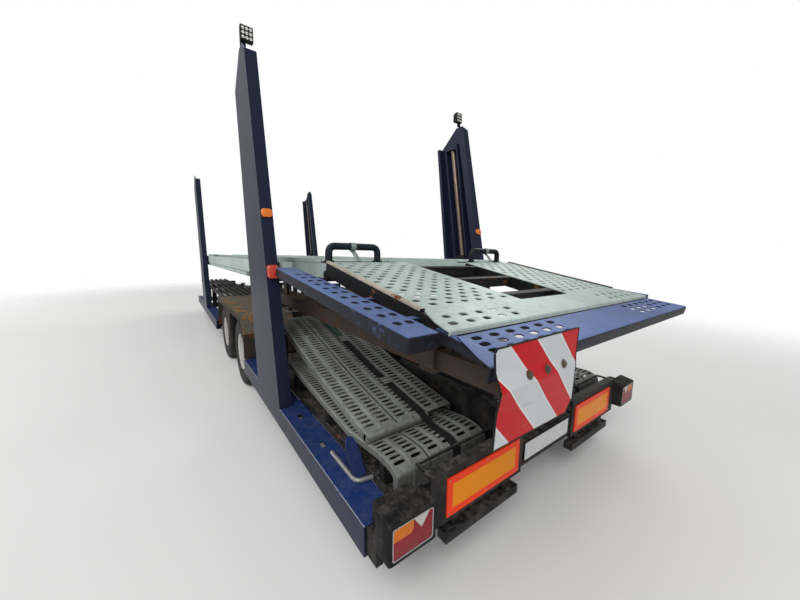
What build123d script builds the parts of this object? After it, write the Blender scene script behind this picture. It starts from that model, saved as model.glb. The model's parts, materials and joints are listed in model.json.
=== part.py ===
"""Close-coupled car transporter trailer with two decks, a lifting upper deck and a sloping rear tail.

Millimetres. +X points forward, +Y to the left, +Z up, and the ground is z = 0.
Stations are measured forward from the rear plane, the face of the rear marker plates;
at() turns a station into x, with the origin under the middle of the whole length.
"""
import os
from math import atan, cos, pi, sin, tan

from build123d import *

os.makedirs("parts", exist_ok=True)

# Overall sizes
rear_overhang = 433.0          # striped board behind the rear plane
coupling_tip = 10473.0         # station of the front of the coupling eye
body_front = 8900.0            # station of the front of the body
half_width = 1270.0            # outer face of rails and posts
sheet = 10.0                   # plate thickness of rails, mudguards and trays
SIDES = (("left", 1), ("right", -1))

# Small clearances, and the flats that stand for rolled and turned forms
running_gap = 6.0              # between a moving piece and what it passes
pin_gap = 0.3                  # round a pin, stub or spindle
wheel_flats = 18
bar_flats = 12

# Chassis
beam_inner = 340.0             # main beams, inner face
beam_outer = 420.0
beam_bottom = 420.0
beam_top = 720.0
chassis_rear = 100.0
cross_height = 100.0
cross_width = 90.0
cross_stations = (260.0, 1400.0, 2600.0, 5160.0, 6300.0, 7450.0, 8600.0)
tie_stations = (2850.0, 3750.0, 4650.0)

# Side rails
rail_bottom = 285.0
rail_top = beam_bottom + sheet
rail_flange = 170.0
rail_rear = 120.0
rail_rear_end = 2690.0
rail_front_start = 5100.0
rail_slot_stations = (773.0, 1174.0)
rail_slot_inset = 90.0         # slots in the top flange, from the rail's outer face
rail_slot_length = 60.0
rail_slot_width = 30.0

# Wheels and axles
tyre_radius = 395.0
tyre_width = 235.0
tyre_bead = 215.0
twin_spacing = 275.0
tyre_inset = 38.0              # outer tyre's face, in from the rail's outer face
axle_stations = (3150.0, 4350.0)
axle_radius = 60.0
axle_gap = 40.0                # clear height between axle and main beam
hub_space = 102.0              # from the inner tyre's face to the end of the axle tube

# Mudguards
guard_top = 870.0
guard_overlap = 32.0           # inner edge, past the inner tyre
guard_rear = 2720.0
guard_front = 4800.0
guard_slope = 170.0
guard_inset = 8.0

# Posts, all of one form, leaning forward
post_stations = (("rear", 0.0), ("front", 5300.0))
post_rear_foot = 1354.0        # station of the rear edge on the rail
post_front_foot = 2042.0
post_rear_lean = 0.222
post_front_lean = 0.14
lift_lean = 0.18
post_top = 3200.0
post_top_rear = 3130.0
post_top_front = 2980.0
post_depth = 90.0
post_plate = 12.0
post_column = 85.0             # width of the rear column at the top
post_front_flange = 40.0
guide_gap = 170.0
guide_wall = 20.0
spindle_radius = 25.0
carriage_height = 300.0
bearing_height = 60.0

# Upper deck
deck_top = 1515.0
deck_plate = 8.0
deck_rear = 1100.0
deck_front = 8800.0
deck_clearance = 20.0          # between the deck's side beams and the posts
deck_beam_drop = 15.0          # side beams' top, below the deck's top
deck_beam_height = 130.0
deck_beam_top = deck_top - deck_beam_drop
deck_beam_bottom = deck_beam_top - deck_beam_height
deck_beam_width = 75.0
deck_beam_rear = 1540.0
track_to_beam = 100.0
track_width = 585.0
track_lip = 20.0
rib_width = 50.0
rib_depth = 115.0              # from the deck's top to the ribs' underside
rib_bottom = deck_top - rib_depth
deck_cross_stations = (1600.0, 2800.0, 4000.0, 5200.0, 6400.0, 7600.0, 8750.0)
deck_cross_width = 80.0
deck_cross_height = 60.0

# Tail
tail_slope = 0.186
tail_length = 1209.0
tail_narrowing = 55.0          # tail tracks' inner edge, further in than the deck tracks'
tail_taper = 85.0              # and further in at the rear
tail_plate = 6.0
tail_depth = 90.0
tail_side = 27.0
cross_plate_length = 210.0
cross_plate_overhang = 65.0
rear_plate_inset = 165.0
rear_plate_length = 211.93     # along the slope
rear_plate_drop = 14.0
hinge_station = 1085.0
hinge_drop = 90.0              # below the deck's top
hinge_height = deck_top - hinge_drop
hinge_pin_radius = 20.0
walk_inset = 52.0
walk_gap = 58.0                # between the tail's side beam and the walkway
walk_front = (1500.0, 1462.0)
walk_rear = (-90.0, 1288.0)
walk_fold = 65.0

middle = (coupling_tip - rear_overhang) / 2

# Widths that follow from the half width, from the outside in
rail_web_inner = half_width - sheet
post_inner = half_width - post_depth
plate_inner = half_width - post_plate
deck_beam_outer = post_inner - deck_clearance
deck_beam_inner = deck_beam_outer - deck_beam_width
track_outer = deck_beam_inner - track_to_beam
track_inner = track_outer - track_width
tyre_outer_face = half_width - tyre_inset
outer_centre = tyre_outer_face - tyre_width / 2
inner_centre = outer_centre - twin_spacing
tyre_inner_face = inner_centre - tyre_width / 2


def at(station):
    """x of a station."""
    return station - middle


def block(x_range, y_range, z_range, mode=Mode.ADD):
    """A straight bar between two x, two y and two z values, given in any order."""
    low = [min(r) for r in (x_range, y_range, z_range)]
    high = [max(r) for r in (x_range, y_range, z_range)]
    with Locations([tuple((a + b) / 2 for a, b in zip(low, high))]):
        Box(*(b - a for a, b in zip(low, high)), mode=mode)


def side_plate(points, y_range, mode=Mode.ADD):
    """A plate cut to an outline of (station, z), between two y values."""
    with BuildSketch(Plane.XZ.offset(-max(y_range))) as outline:
        with BuildLine():
            Polyline(*((at(s), z) for s, z in points), close=True)
        make_face()
    extrude(outline.sketch, amount=max(y_range) - min(y_range), mode=mode)


def section(points, s_range, mode=Mode.ADD):
    """A profile of (y, z) drawn out along the length, between two stations."""
    with BuildSketch(Plane.YZ.offset(at(min(s_range)))) as outline:
        with BuildLine():
            Polyline(*points, close=True)
        make_face()
    extrude(outline.sketch, amount=max(s_range) - min(s_range), mode=mode)


def cross_pipe(radius, station, z, y_range, mode=Mode.ADD, flats=bar_flats, over=False):
    """A bar with flats across the trailer. over=True gives a bore whose flats clear the radius."""
    with BuildSketch(Plane.XZ.offset(-max(y_range))) as outline:
        with Locations((at(station), z)):
            RegularPolygon(radius, flats, major_radius=not over)
    extrude(outline.sketch, amount=max(y_range) - min(y_range), mode=mode)


def cross_pin(radius, station, z, y_range):
    """A round pin across the trailer, which something turns on."""
    with BuildSketch(Plane.XZ.offset(-max(y_range))) as outline:
        with Locations((at(station), z)):
            Circle(radius)
    extrude(outline.sketch, amount=max(y_range) - min(y_range))


def long_pipe(radius, y, z, s_range):
    """A bar with flats along the trailer."""
    with BuildSketch(Plane.YZ.offset(at(min(s_range)))) as outline:
        with Locations((y, z)):
            RegularPolygon(radius, bar_flats)
    extrude(outline.sketch, amount=max(s_range) - min(s_range))


def flat_sided(rings, closed):
    """A solid of flat faces between rings of points. A closed form joins its last ring to its first."""
    pairs = list(zip(rings, rings[1:]))
    faces = []
    if closed:
        pairs.append((rings[-1], rings[0]))
    else:
        faces += [Face(Wire.make_polygon(ring)) for ring in (rings[0], rings[-1])]
    for one, other in pairs:
        for k in range(len(one)):
            faces.append(Face(Wire.make_polygon([one[k - 1], one[k], other[k], other[k - 1]])))
    add(Solid(Shell(faces)))


def around(radius, flats):
    """Corners of a regular outline, as pairs across and up from its middle."""
    angles = [2 * pi * (k + 0.5) / flats for k in range(flats)]
    return [(radius * cos(angle), radius * sin(angle)) for angle in angles]


def turned(profile, station, z):
    """A form with flats round a cross axle, from a closed profile of (y, radius)."""
    rings = [[(at(station) + u, y, z + v) for u, v in around(radius, wheel_flats)] for y, radius in profile]
    flat_sided(rings, True)


def height_on(line, station):
    """Height of a broken line of (station, z) at a station."""
    for (s0, z0), (s1, z1) in zip(line, line[1:]):
        if s0 <= station <= s1:
            return z0 + (z1 - z0) * (station - s0) / (s1 - s0)
    raise ValueError("station outside the line")


def save(builder, name):
    """Labels a finished piece and writes it."""
    builder.part.label = name
    export_step(builder.part, f"parts/{name}.step")


# Chassis: two main beams arched over the axles, on cross members that reach the rails
notch = 190.0
notch_bottom = tyre_radius + axle_radius + axle_gap
cross_top = beam_bottom
beam_outline = [(chassis_rear, beam_bottom)]
for axle in axle_stations:
    beam_outline += [
        (axle - notch, beam_bottom),
        (axle - notch / 2, notch_bottom),
        (axle + notch / 2, notch_bottom),
        (axle + notch, beam_bottom),
    ]
beam_outline += [(body_front, beam_bottom), (body_front, beam_top), (chassis_rear, beam_top)]
with BuildPart() as beams:
    for _, side in SIDES:
        side_plate(beam_outline, (side * beam_inner, side * beam_outer))
save(beams, "main_beams")

# Drawbar: a box beam with a coupling eye, held between the main beams by two cross boxes
drawbar_half = 90.0
drawbar_bottom = 440.0
drawbar_top = 620.0
drawbar_start = 8645.0
drawbar_taper = 300.0
drawbar_box = (8675.0, 8840.0)
eye_radius = 80.0
eye_bore = 25.0
eye_thickness = 50.0
eye_height = 500.0
eye_station = coupling_tip - eye_radius
drawbar_overlap = 5.0          # of the drawbar and its eye
drawbar_nose = eye_station - eye_radius + drawbar_overlap
drawbar_nose_half = 45.0
with BuildPart() as drawbar:
    side_plate(
        [(drawbar_start, drawbar_bottom), (drawbar_start, drawbar_top),
         (body_front + drawbar_taper, drawbar_top),
         (drawbar_nose, eye_height + drawbar_nose_half), (drawbar_nose, eye_height - drawbar_nose_half),
         (body_front + drawbar_taper, drawbar_bottom)],
        (-drawbar_half, drawbar_half),
    )
    with BuildSketch(Plane.XY.offset(eye_height - eye_thickness / 2)):
        with Locations((at(eye_station), 0)):
            Circle(eye_radius)
    extrude(amount=eye_thickness)
    with Locations((at(eye_station), 0, eye_height)):
        Cylinder(eye_bore, eye_thickness * 2, mode=Mode.SUBTRACT)
save(drawbar, "drawbar")

with BuildPart() as members:
    for s in cross_stations:
        block(
            (at(s - cross_width / 2), at(s + cross_width / 2)),
            (-rail_web_inner, rail_web_inner),
            (cross_top - cross_height, cross_top),
        )
    for s in tie_stations:
        block(
            (at(s - cross_width / 2), at(s + cross_width / 2)),
            (-beam_inner, beam_inner),
            (notch_bottom, beam_top - sheet),
        )
    for _, side in SIDES:
        block((at(drawbar_box[0]), at(drawbar_box[1])), (side * drawbar_half, side * beam_inner),
              (drawbar_bottom + sheet, drawbar_top - sheet))
save(members, "cross_members")

# Side rails: channels open inwards, over the ends of the cross members, slotted for chains
for word, side in SIDES:
    outer, inner, low = side * half_width, side * rail_web_inner, side * (half_width - rail_flange)
    profile = [
        (outer, rail_bottom), (outer, rail_top), (low, rail_top), (low, cross_top),
        (inner, cross_top), (inner, rail_bottom + sheet),
        (side * (half_width - rail_flange / 2), rail_bottom + sheet),
        (side * (half_width - rail_flange / 2), rail_bottom),
    ]
    with BuildPart() as rails:
        section(profile, (rail_rear, rail_rear_end))
        section(profile, (rail_front_start, body_front))
        for s in rail_slot_stations:
            y = half_width - rail_slot_inset
            block((at(s - rail_slot_length / 2), at(s + rail_slot_length / 2)),
                  (side * (y - rail_slot_width / 2), side * (y + rail_slot_width / 2)),
                  (cross_top, rail_top), Mode.SUBTRACT)
    save(rails, f"{word}_side_rails")

# Landing leg: a square tube on the drawbar's left side, its inner leg down to a foot plate
leg_station = 9150.0
leg_outer = 100.0
leg_inner = 80.0
leg_split = 240.0
foot_size = 260.0
foot_thickness = 15.0
leg_y = drawbar_half + leg_outer / 2
with BuildPart() as leg:
    with Locations((at(leg_station), leg_y, (leg_split + beam_top) / 2)):
        Box(leg_outer, leg_outer, beam_top - leg_split)
    with Locations((at(leg_station), leg_y, (foot_thickness + leg_split) / 2)):
        Box(leg_inner, leg_inner, leg_split - foot_thickness)
    with Locations((at(leg_station), leg_y, foot_thickness / 2)):
        Box(foot_size, foot_size, foot_thickness)
save(leg, "landing_leg")

# Axles, with the arms and air springs that carry them under the main beams
stub_radius = 38.0
axle_shoulder = tyre_inner_face - hub_space
stub_inset = 112.0             # end of the stub, in from the outer tyre's face
stub_end = tyre_outer_face - stub_inset
brake_radius = 150.0
brake_thickness = 20.0
with BuildPart() as axles:
    for s in axle_stations:
        cross_pipe(axle_radius, s, tyre_radius, (-axle_shoulder, axle_shoulder))
        for _, side in SIDES:
            cross_pin(stub_radius, s, tyre_radius, (side * axle_shoulder, side * stub_end))
            cross_pipe(brake_radius, s, tyre_radius,
                       (side * (axle_shoulder - brake_thickness), side * axle_shoulder))
save(axles, "axles")

arm_bottom = 285.0
arm_top = tyre_radius - axle_radius
arm_reach = 430.0
arm_seat = 80.0
arm_inset = 5.0
spring_radius = 90.0
spring_offset = 320.0
spring_waist = 70.0
arm_heel = 20.0                # rise of the arm's underside behind the spring
hanger_half = 60.0             # arm's bracket under the main beam, half its length
hanger_foot = 30.0
with BuildPart() as arms:
    for s in axle_stations:
        for _, side in SIDES:
            side_plate(
                [(s - spring_offset - spring_radius, arm_bottom + arm_heel),
                 (s - spring_offset - spring_radius, arm_top),
                 (s - arm_seat, arm_top), (s - arm_seat, tyre_radius),
                 (s + arm_seat, tyre_radius), (s + arm_seat, arm_top),
                 (s + arm_reach - hanger_half, arm_top), (s + arm_reach - hanger_half, beam_bottom),
                 (s + arm_reach + hanger_half, beam_bottom), (s + arm_reach + hanger_foot, arm_bottom),
                 (s - arm_seat, arm_bottom)],
                (side * (beam_inner + arm_inset), side * (beam_outer - arm_inset)),
            )
            cross_pipe(axle_radius, s, tyre_radius, (side * beam_inner, side * beam_outer), Mode.SUBTRACT)
save(arms, "suspension_arms")

spring_height = beam_bottom - arm_top
SPRING_RINGS = (  # share of the height, radius
    (0.00, spring_waist), (0.28, spring_radius), (0.50, spring_waist),
    (0.72, spring_radius), (1.00, spring_waist),
)
with BuildPart() as springs:
    for s in axle_stations:
        for _, side in SIDES:
            x, y = at(s - spring_offset), side * (beam_inner + beam_outer) / 2
            rings = []
            for share, radius in SPRING_RINGS:
                z = arm_top + share * spring_height
                rings.append([(x + u, y + v, z) for u, v in around(radius, bar_flats)])
            flat_sided(rings, False)
save(springs, "air_springs")

# Wheels: twin tyres on a dished double rim, one body for each corner
rim_width = 205.0
rim_wall = 14.0
disc_y = (outer_centre + inner_centre) / 2
disc_half = 12.0
hub_radius = 95.0
hub_face = 62.0                # hub's end, in from the outer tyre's face
tyre_belly = 90.0              # widest place of the tyre, out from the bead
TYRE_RINGS = (  # share of half the width, radius
    (-0.80, tyre_bead), (-1.00, tyre_bead + tyre_belly), (-0.86, tyre_radius),
    (0.86, tyre_radius), (1.00, tyre_bead + tyre_belly), (0.80, tyre_bead),
)
hub_taper = 25.0
dish_floor = 60.0              # width of the disc's flat ring outside the hub
well = tyre_bead - pin_gap
outer_edge = outer_centre + rim_width / 2
inner_edge = inner_centre - rim_width / 2
hub_end = tyre_outer_face - hub_face
bore = (stub_radius + pin_gap) / cos(pi / wheel_flats)
RIM_PROFILE = (  # y, radius
    (inner_edge, well), (outer_edge, well), (outer_edge, well - rim_wall),
    (disc_y + disc_half, hub_radius + dish_floor), (disc_y + disc_half, hub_radius),
    (hub_end, hub_radius - hub_taper), (hub_end, bore), (disc_y - disc_half, bore),
    (disc_y - disc_half, well - rim_wall), (inner_edge, well - rim_wall),
)
for place, s in zip(("rear", "front"), axle_stations):
    for word, side in SIDES:
        with BuildPart() as tyre:
            for centre in (outer_centre, inner_centre):
                profile = [(side * (centre + share * tyre_width / 2), r) for share, r in TYRE_RINGS]
                turned(profile, s, tyre_radius)
        save(tyre, f"{word}_{place}_tyres")
        with BuildPart() as rim:
            turned([(side * y, r) for y, r in RIM_PROFILE], s, tyre_radius)
        save(rim, f"{word}_{place}_rims")

# Mudguards: flat tops that slope down at the rear, with brackets to the main beams
guard_side = half_width - guard_inset
guard_inner = tyre_inner_face - guard_overlap
guard_skirt = 60.0
guard_leg = 480.0              # foot of the plate between the wheels
guard_leg_half = 70.0
guard_leg_root = 150.0
guard_bracket_half = 30.0
guard_bracket_height = 60.0
guard_bracket_foot = 120.0     # down the main beam's side
guard_bracket_end = 40.0       # under the mudguard
wheel_gap_middle = sum(axle_stations) / 2
bracket_stations = (guard_rear + 240, wheel_gap_middle, guard_front - 60)
for word, side in SIDES:
    with BuildPart() as guard:
        outline = [
            (guard_rear, cross_top + sheet), (guard_rear, guard_top - guard_slope),
            (guard_rear + guard_slope, guard_top),
            (guard_front, guard_top), (guard_front, cross_top + sheet),
            (guard_front - sheet, cross_top + sheet), (guard_front - sheet, guard_top - sheet),
            (guard_rear + guard_slope, guard_top - sheet), (guard_rear + sheet, guard_top - guard_slope),
            (guard_rear + sheet, cross_top + sheet),
        ]
        side_plate(outline, (side * guard_inner, side * guard_side))
        side_plate(
            [(guard_rear + guard_slope, guard_top), (guard_front, guard_top),
             (guard_front, guard_top - guard_skirt),
             (wheel_gap_middle + guard_leg_root, guard_top - guard_skirt),
             (wheel_gap_middle + guard_leg_half, guard_leg),
             (wheel_gap_middle - guard_leg_half, guard_leg),
             (wheel_gap_middle - guard_leg_root, guard_top - guard_skirt),
             (guard_rear + guard_slope, guard_top - guard_skirt)],
            (side * (guard_side - sheet), side * guard_side),
        )
        for s in bracket_stations:
            x_range = (at(s - guard_bracket_half), at(s + guard_bracket_half))
            block(x_range, (side * beam_outer, side * (guard_inner + guard_bracket_end)),
                  (guard_top - sheet - guard_bracket_height, guard_top - sheet))
            block(x_range, (side * beam_outer, side * (beam_outer + guard_bracket_half)),
                  (beam_top - guard_bracket_foot, guard_top - sheet))
    save(guard, f"{word}_mudguard")

# Lower front deck: slatted wheel tracks on legs over the cross members
slat_top = 870.0
slat_bottom = 830.0
slat_rear = 4830.0
slat_front = 8860.0
slat_span = 560.0
slat_count = 6
slat_width = 50.0
slat_bearer = 80.0
bearer_height = 60.0
slat_leg = (100.0, 180.0)      # outer leg, in from the slats' outer edge
slat_outer = post_inner
slat_inner = slat_outer - slat_span
with BuildPart() as lower_tracks:
    pitch = (slat_span - slat_width) / (slat_count - 1)
    for _, side in SIDES:
        for k in range(slat_count):
            y = slat_inner + k * pitch
            block((at(slat_rear), at(slat_front)), (side * y, side * (y + slat_width)),
                  (slat_bottom, slat_top))
        for s in cross_stations[3:]:
            x_range = (at(s - slat_bearer / 2), at(s + slat_bearer / 2))
            leg_range = (cross_top, slat_bottom - bearer_height)
            block(x_range, (side * beam_outer, side * slat_outer),
                  (slat_bottom - bearer_height, slat_bottom - pin_gap))
            block(x_range, (side * (slat_outer - slat_leg[1]), side * (slat_outer - slat_leg[0])), leg_range)
            block(x_range, (side * beam_outer, side * (beam_outer + slat_bearer)), leg_range)
save(lower_tracks, "lower_tracks")

# Ramp troughs: trays on the rear cross members, between the main beams and the rails
trough_inner = beam_outer
trough_gap = 10.0              # between the trough and the rail's flange
trough_front = rail_rear_end - 40.0
trough_outer = half_width - rail_flange - trough_gap
trough_floor = 8.0
trough_lip = 45.0
trough_rear = 150.0
tray_top = cross_top + trough_floor
ramp_thickness = 50.0
ramp_gap = 10.0
ramp_side_gap = 20.0           # between the trough's edges and the planks
ramp_first = trough_inner + ramp_side_gap
ramp_last = trough_outer - ramp_side_gap + 5.0
ramp_width = (ramp_last - ramp_first - 2 * ramp_gap) / 3
ramp_lip = 12.0
curl_step = 20.0               # corner of the curled end's inner side
curl_drop = 35.0
ramp_tube = 28.0               # radius of the tube at the upper planks' rear end
lower_ramp = ((150.0, 556.0), (230.0, 585.0), (330.0, 585.0), (640.0, 545.0), (1750.0, 632.0))
upper_ramp = ((440.0, 622.0), (1000.0, 722.0), (2050.0, 968.0))    # station, height of the top
rest_stations = (290.0, 950.0, 1600.0)
stand_station = 1950.0
rest_half = 20.0
stand_bar = 48.0
with BuildPart() as troughs:
    for _, side in SIDES:
        section(
            [(side * y, z) for y, z in (
                (trough_inner, cross_top), (trough_inner, cross_top + trough_lip),
                (trough_inner + trough_floor, cross_top + trough_lip),
                (trough_inner + trough_floor, cross_top + trough_floor),
                (trough_outer - trough_floor, cross_top + trough_floor),
                (trough_outer - trough_floor, cross_top + trough_lip),
                (trough_outer, cross_top + trough_lip), (trough_outer, cross_top))],
            (trough_rear, trough_front),
        )
        for s in rest_stations:
            under = [(t, height_on(lower_ramp, t) - ramp_thickness) for t in (s - rest_half, s + rest_half)]
            side_plate([(s - rest_half, tray_top)] + under + [(s + rest_half, tray_top)],
                       (side * ramp_first, side * ramp_last))
        low, high = stand_station - rest_half, stand_station + rest_half
        stand_top = height_on(upper_ramp, low) - ramp_thickness
        side_plate([(low, stand_top - stand_bar), (low, stand_top),
                    (high, height_on(upper_ramp, high) - ramp_thickness), (high, stand_top - stand_bar)],
                   (side * ramp_first, side * ramp_last))
        for y in (ramp_first, ramp_last - stand_bar):
            block((at(low), at(high)), (side * y, side * (y + stand_bar)), (tray_top, stand_top - stand_bar))
save(troughs, "ramp_troughs")

# Loading ramps stowed in the troughs: planks on two levels, the lower ones with a curled rear end
for word, side in SIDES:
    with BuildPart() as ramps:
        for line in (lower_ramp, upper_ramp):
            under = [(s, z - ramp_thickness) for s, z in reversed(line)]
            if line is lower_ramp:
                rear_s, rear_z = line[0]
                under[-1:] = [(rear_s + ramp_lip + curl_step, rear_z - curl_drop),
                              (rear_s + ramp_lip, rear_z - ramp_thickness),
                              (rear_s + ramp_lip, tray_top + pin_gap), (rear_s, tray_top + pin_gap)]
            for k in range(3):
                y = ramp_first + k * (ramp_width + ramp_gap)
                side_plate(list(line) + under, (side * y, side * (y + ramp_width)))
        cross_pipe(ramp_tube, upper_ramp[0][0], upper_ramp[0][1] - ramp_thickness / 2,
                   (side * (ramp_first + ramp_width + ramp_gap), side * ramp_last))
    save(ramps, f"{word}_ramps")

# Catches at the rear of the troughs: an upright horn on the trough's edge and a bent locking bar on the rail
catch_plate = 12.0
catch_bar = 18.0
catch_bar_stations = (340.0, 650.0)
catch_foot = rail_top + pin_gap
HORN = (  # station, z
    (320.0, catch_foot), (430.0, 690.0), (480.0, 720.0), (530.0, 690.0), (520.0, 560.0), (470.0, catch_foot),
)
with BuildPart() as catches:
    for _, side in SIDES:
        inside = half_width - rail_flange
        side_plate(HORN, (side * inside, side * (inside + catch_plate)))
        bar_y = half_width - rail_slot_inset
        bar_z = (catch_foot, catch_foot + catch_bar)
        rear, front = catch_bar_stations
        block((at(rear), at(front)), (side * (bar_y - catch_bar / 2), side * (bar_y + catch_bar / 2)), bar_z)
        block((at(rear), at(rear + catch_bar)),
              (side * (bar_y - catch_bar / 2), side * (inside + catch_plate)), bar_z)
save(catches, "ramp_catches")

# Straps along the stowed ramps, from the upper planks down over the curled ends
strap_width = 50.0
strap_thickness = 4.0
strap_slack = 0.4
strap_start = 1000.0
strap_rise = 10.0              # over the tube
strap_dip = 5.0                # behind it
strap_offset = 240.0           # middle of the strap, out from the first plank's inner edge
with BuildPart() as straps:
    for _, side in SIDES:
        rear_s, rear_z = lower_ramp[0]
        line = [(strap_start, height_on(upper_ramp, strap_start) + strap_slack),
                (upper_ramp[0][0], upper_ramp[0][1] + strap_rise + strap_slack),
                (upper_ramp[0][0] - ramp_tube - strap_rise, upper_ramp[0][1] - strap_dip),
                (lower_ramp[2][0], lower_ramp[2][1] + strap_slack),
                (lower_ramp[1][0], lower_ramp[1][1] + strap_slack),
                (rear_s - strap_slack, rear_z + strap_slack), (rear_s - strap_slack, tray_top + pin_gap)]
        over = [(s - strap_thickness / 2, z + strap_thickness) for s, z in line[:-1]]
        over[-1] = (rear_s - strap_slack - strap_thickness, rear_z + strap_thickness)
        over.append((rear_s - strap_slack - strap_thickness, tray_top + pin_gap))
        y = ramp_first + strap_offset
        side_plate(line + list(reversed(over)), (side * (y - strap_width / 2), side * (y + strap_width / 2)))
save(straps, "ramp_straps")

# Long hydraulic cylinders on the main beams, for the lower deck
ram_rear = 130.0
ram_joint = 1250.0
ram_front = 1950.0
ram_radius = 38.0
rod_radius = 22.0
ram_height = beam_top + 60.0
ram_saddle = 80.0
saddle_half = 30.0
saddle_stations = (300.0, 1150.0, 1890.0)
with BuildPart() as rams:
    for _, side in SIDES:
        y = side * (beam_inner + beam_outer) / 2
        long_pipe(ram_radius, y, ram_height, (ram_rear, ram_joint))
        long_pipe(rod_radius, y, ram_height, (ram_joint, ram_front))
        for s in saddle_stations:
            block((at(s - saddle_half), at(s + saddle_half)), (y - ram_saddle / 2, y + ram_saddle / 2),
                  (beam_top, ram_height - rod_radius / 2))
save(rams, "ramp_cylinders")

# Rear bumper: channels behind the marker plates, a low bar and the number plate's holder
plate_half = 260.0
plate_bottom = 383.0
plate_height = 112.0
marker_gap = 76.0              # from the number plate to a marker plate
marker_end = 99.0              # from a marker plate to the bumper's end
lamp_gap = 16.0
lamp_width = 246.0
lamp_inset = 8.0
lamp_outer = half_width - lamp_inset
lamp_inner = lamp_outer - lamp_width
bumper_outer = lamp_inner - lamp_gap
marker_inner = plate_half + marker_gap
marker_outer = bumper_outer - marker_end
marker_bottom = 364.0
marker_top = 559.0
bumper_face = 8.0
bumper_bottom = 335.0
bumper_top = 600.0
bumper_back = 60.0
bumper_wall = 8.0
bumper_reach = 40.0            # inner end, past the marker plate
holder_face = bumper_face + bumper_wall
holder_margin = 8.0            # above the number plate
holder_top = plate_bottom + plate_height + holder_margin
low_bar_bottom = 225.0
low_bar_top = 275.0
low_bar_inset = 100.0
low_bar_end = 6.0              # inner end, past the marker plate
hanger_inset = 84.0
hanger_width = 50.0
hanger_range = (20.0, 50.0)
hanger_overlap = 5.0
holder_end = 30.0              # short of the marker plates
holder_bottom = plate_bottom - 28.0
with BuildPart() as bumper:
    for _, side in SIDES:
        side_plate(
            [(bumper_face, bumper_bottom), (bumper_face, bumper_top), (bumper_back, bumper_top),
             (bumper_back, bumper_top - bumper_wall), (holder_face, bumper_top - bumper_wall),
             (holder_face, bumper_bottom + bumper_wall), (bumper_back, bumper_bottom + bumper_wall),
             (bumper_back, bumper_bottom)],
            (side * (marker_inner - bumper_reach), side * bumper_outer),
        )
        block((at(holder_face), at(chassis_rear)), (side * beam_inner, side * beam_outer),
              (beam_bottom, holder_top))
        block((at(0), at(bumper_back)),
              (side * (marker_inner - low_bar_end), side * (bumper_outer - low_bar_inset)),
              (low_bar_bottom, low_bar_top))
        for y in (marker_inner + hanger_inset, bumper_outer - low_bar_inset - hanger_inset):
            block((at(hanger_range[0]), at(hanger_range[1])),
                  (side * (y - hanger_width / 2), side * (y + hanger_width / 2)),
                  (low_bar_top - hanger_overlap, bumper_bottom + hanger_overlap))
    block((at(holder_face), at(bumper_back)), (holder_end - marker_inner, marker_inner - holder_end),
          (holder_bottom, holder_top))
save(bumper, "rear_bumper")

with BuildPart() as markers:
    for _, side in SIDES:
        block((at(0), at(bumper_face)), (side * marker_inner, side * marker_outer),
              (marker_bottom, marker_top))
save(markers, "marker_plates")

plate_sheet = 4.0
with BuildPart() as number_plate:
    block((at(holder_face - plate_sheet), at(holder_face)), (-plate_half, plate_half),
          (plate_bottom, plate_bottom + plate_height))
save(number_plate, "number_plate")

# Tail lamps: deep boxes on the rail ends, tapered at the top, with separate lenses
lamp_bottom = 372.0
lamp_top = 552.0
lamp_rear = -50.0
lamp_slope = 18.0              # rise of the box's top towards the rail
lens_rim = 22.0
lens_depth = 12.0
with BuildPart() as lamps:
    for _, side in SIDES:
        side_plate([(lamp_rear, lamp_bottom), (lamp_rear, lamp_top), (rail_rear, lamp_top + lamp_slope),
                    (rail_rear, lamp_bottom)],
                   (side * lamp_inner, side * lamp_outer))
        block((at(lamp_rear), at(lamp_rear + lens_depth)),
              (side * (lamp_inner + lens_rim), side * (lamp_outer - lens_rim)),
              (lamp_bottom + lens_rim, lamp_top - lens_rim), Mode.SUBTRACT)
save(lamps, "tail_lamp_boxes")
with BuildPart() as lenses:
    for _, side in SIDES:
        block((at(lamp_rear), at(lamp_rear + lens_depth)),
              (side * (lamp_inner + lens_rim), side * (lamp_outer - lens_rim)),
              (lamp_bottom + lens_rim, lamp_top - lens_rim))
save(lenses, "tail_lenses")


# Posts: tapered outer plates with a rear column, a front flange and two lift guides
def rear_edge(z):
    """Station of a post's rear edge at a height."""
    return post_rear_foot + post_rear_lean * (z - rail_top)


def front_edge(z):
    """Station of a post's front edge at a height."""
    return post_front_foot + post_front_lean * (z - rail_top)


def lift_line(z):
    """Station of the lift spindle at a height."""
    return (post_rear_foot + post_front_foot) / 2 + lift_lean * (z - rail_top)


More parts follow.
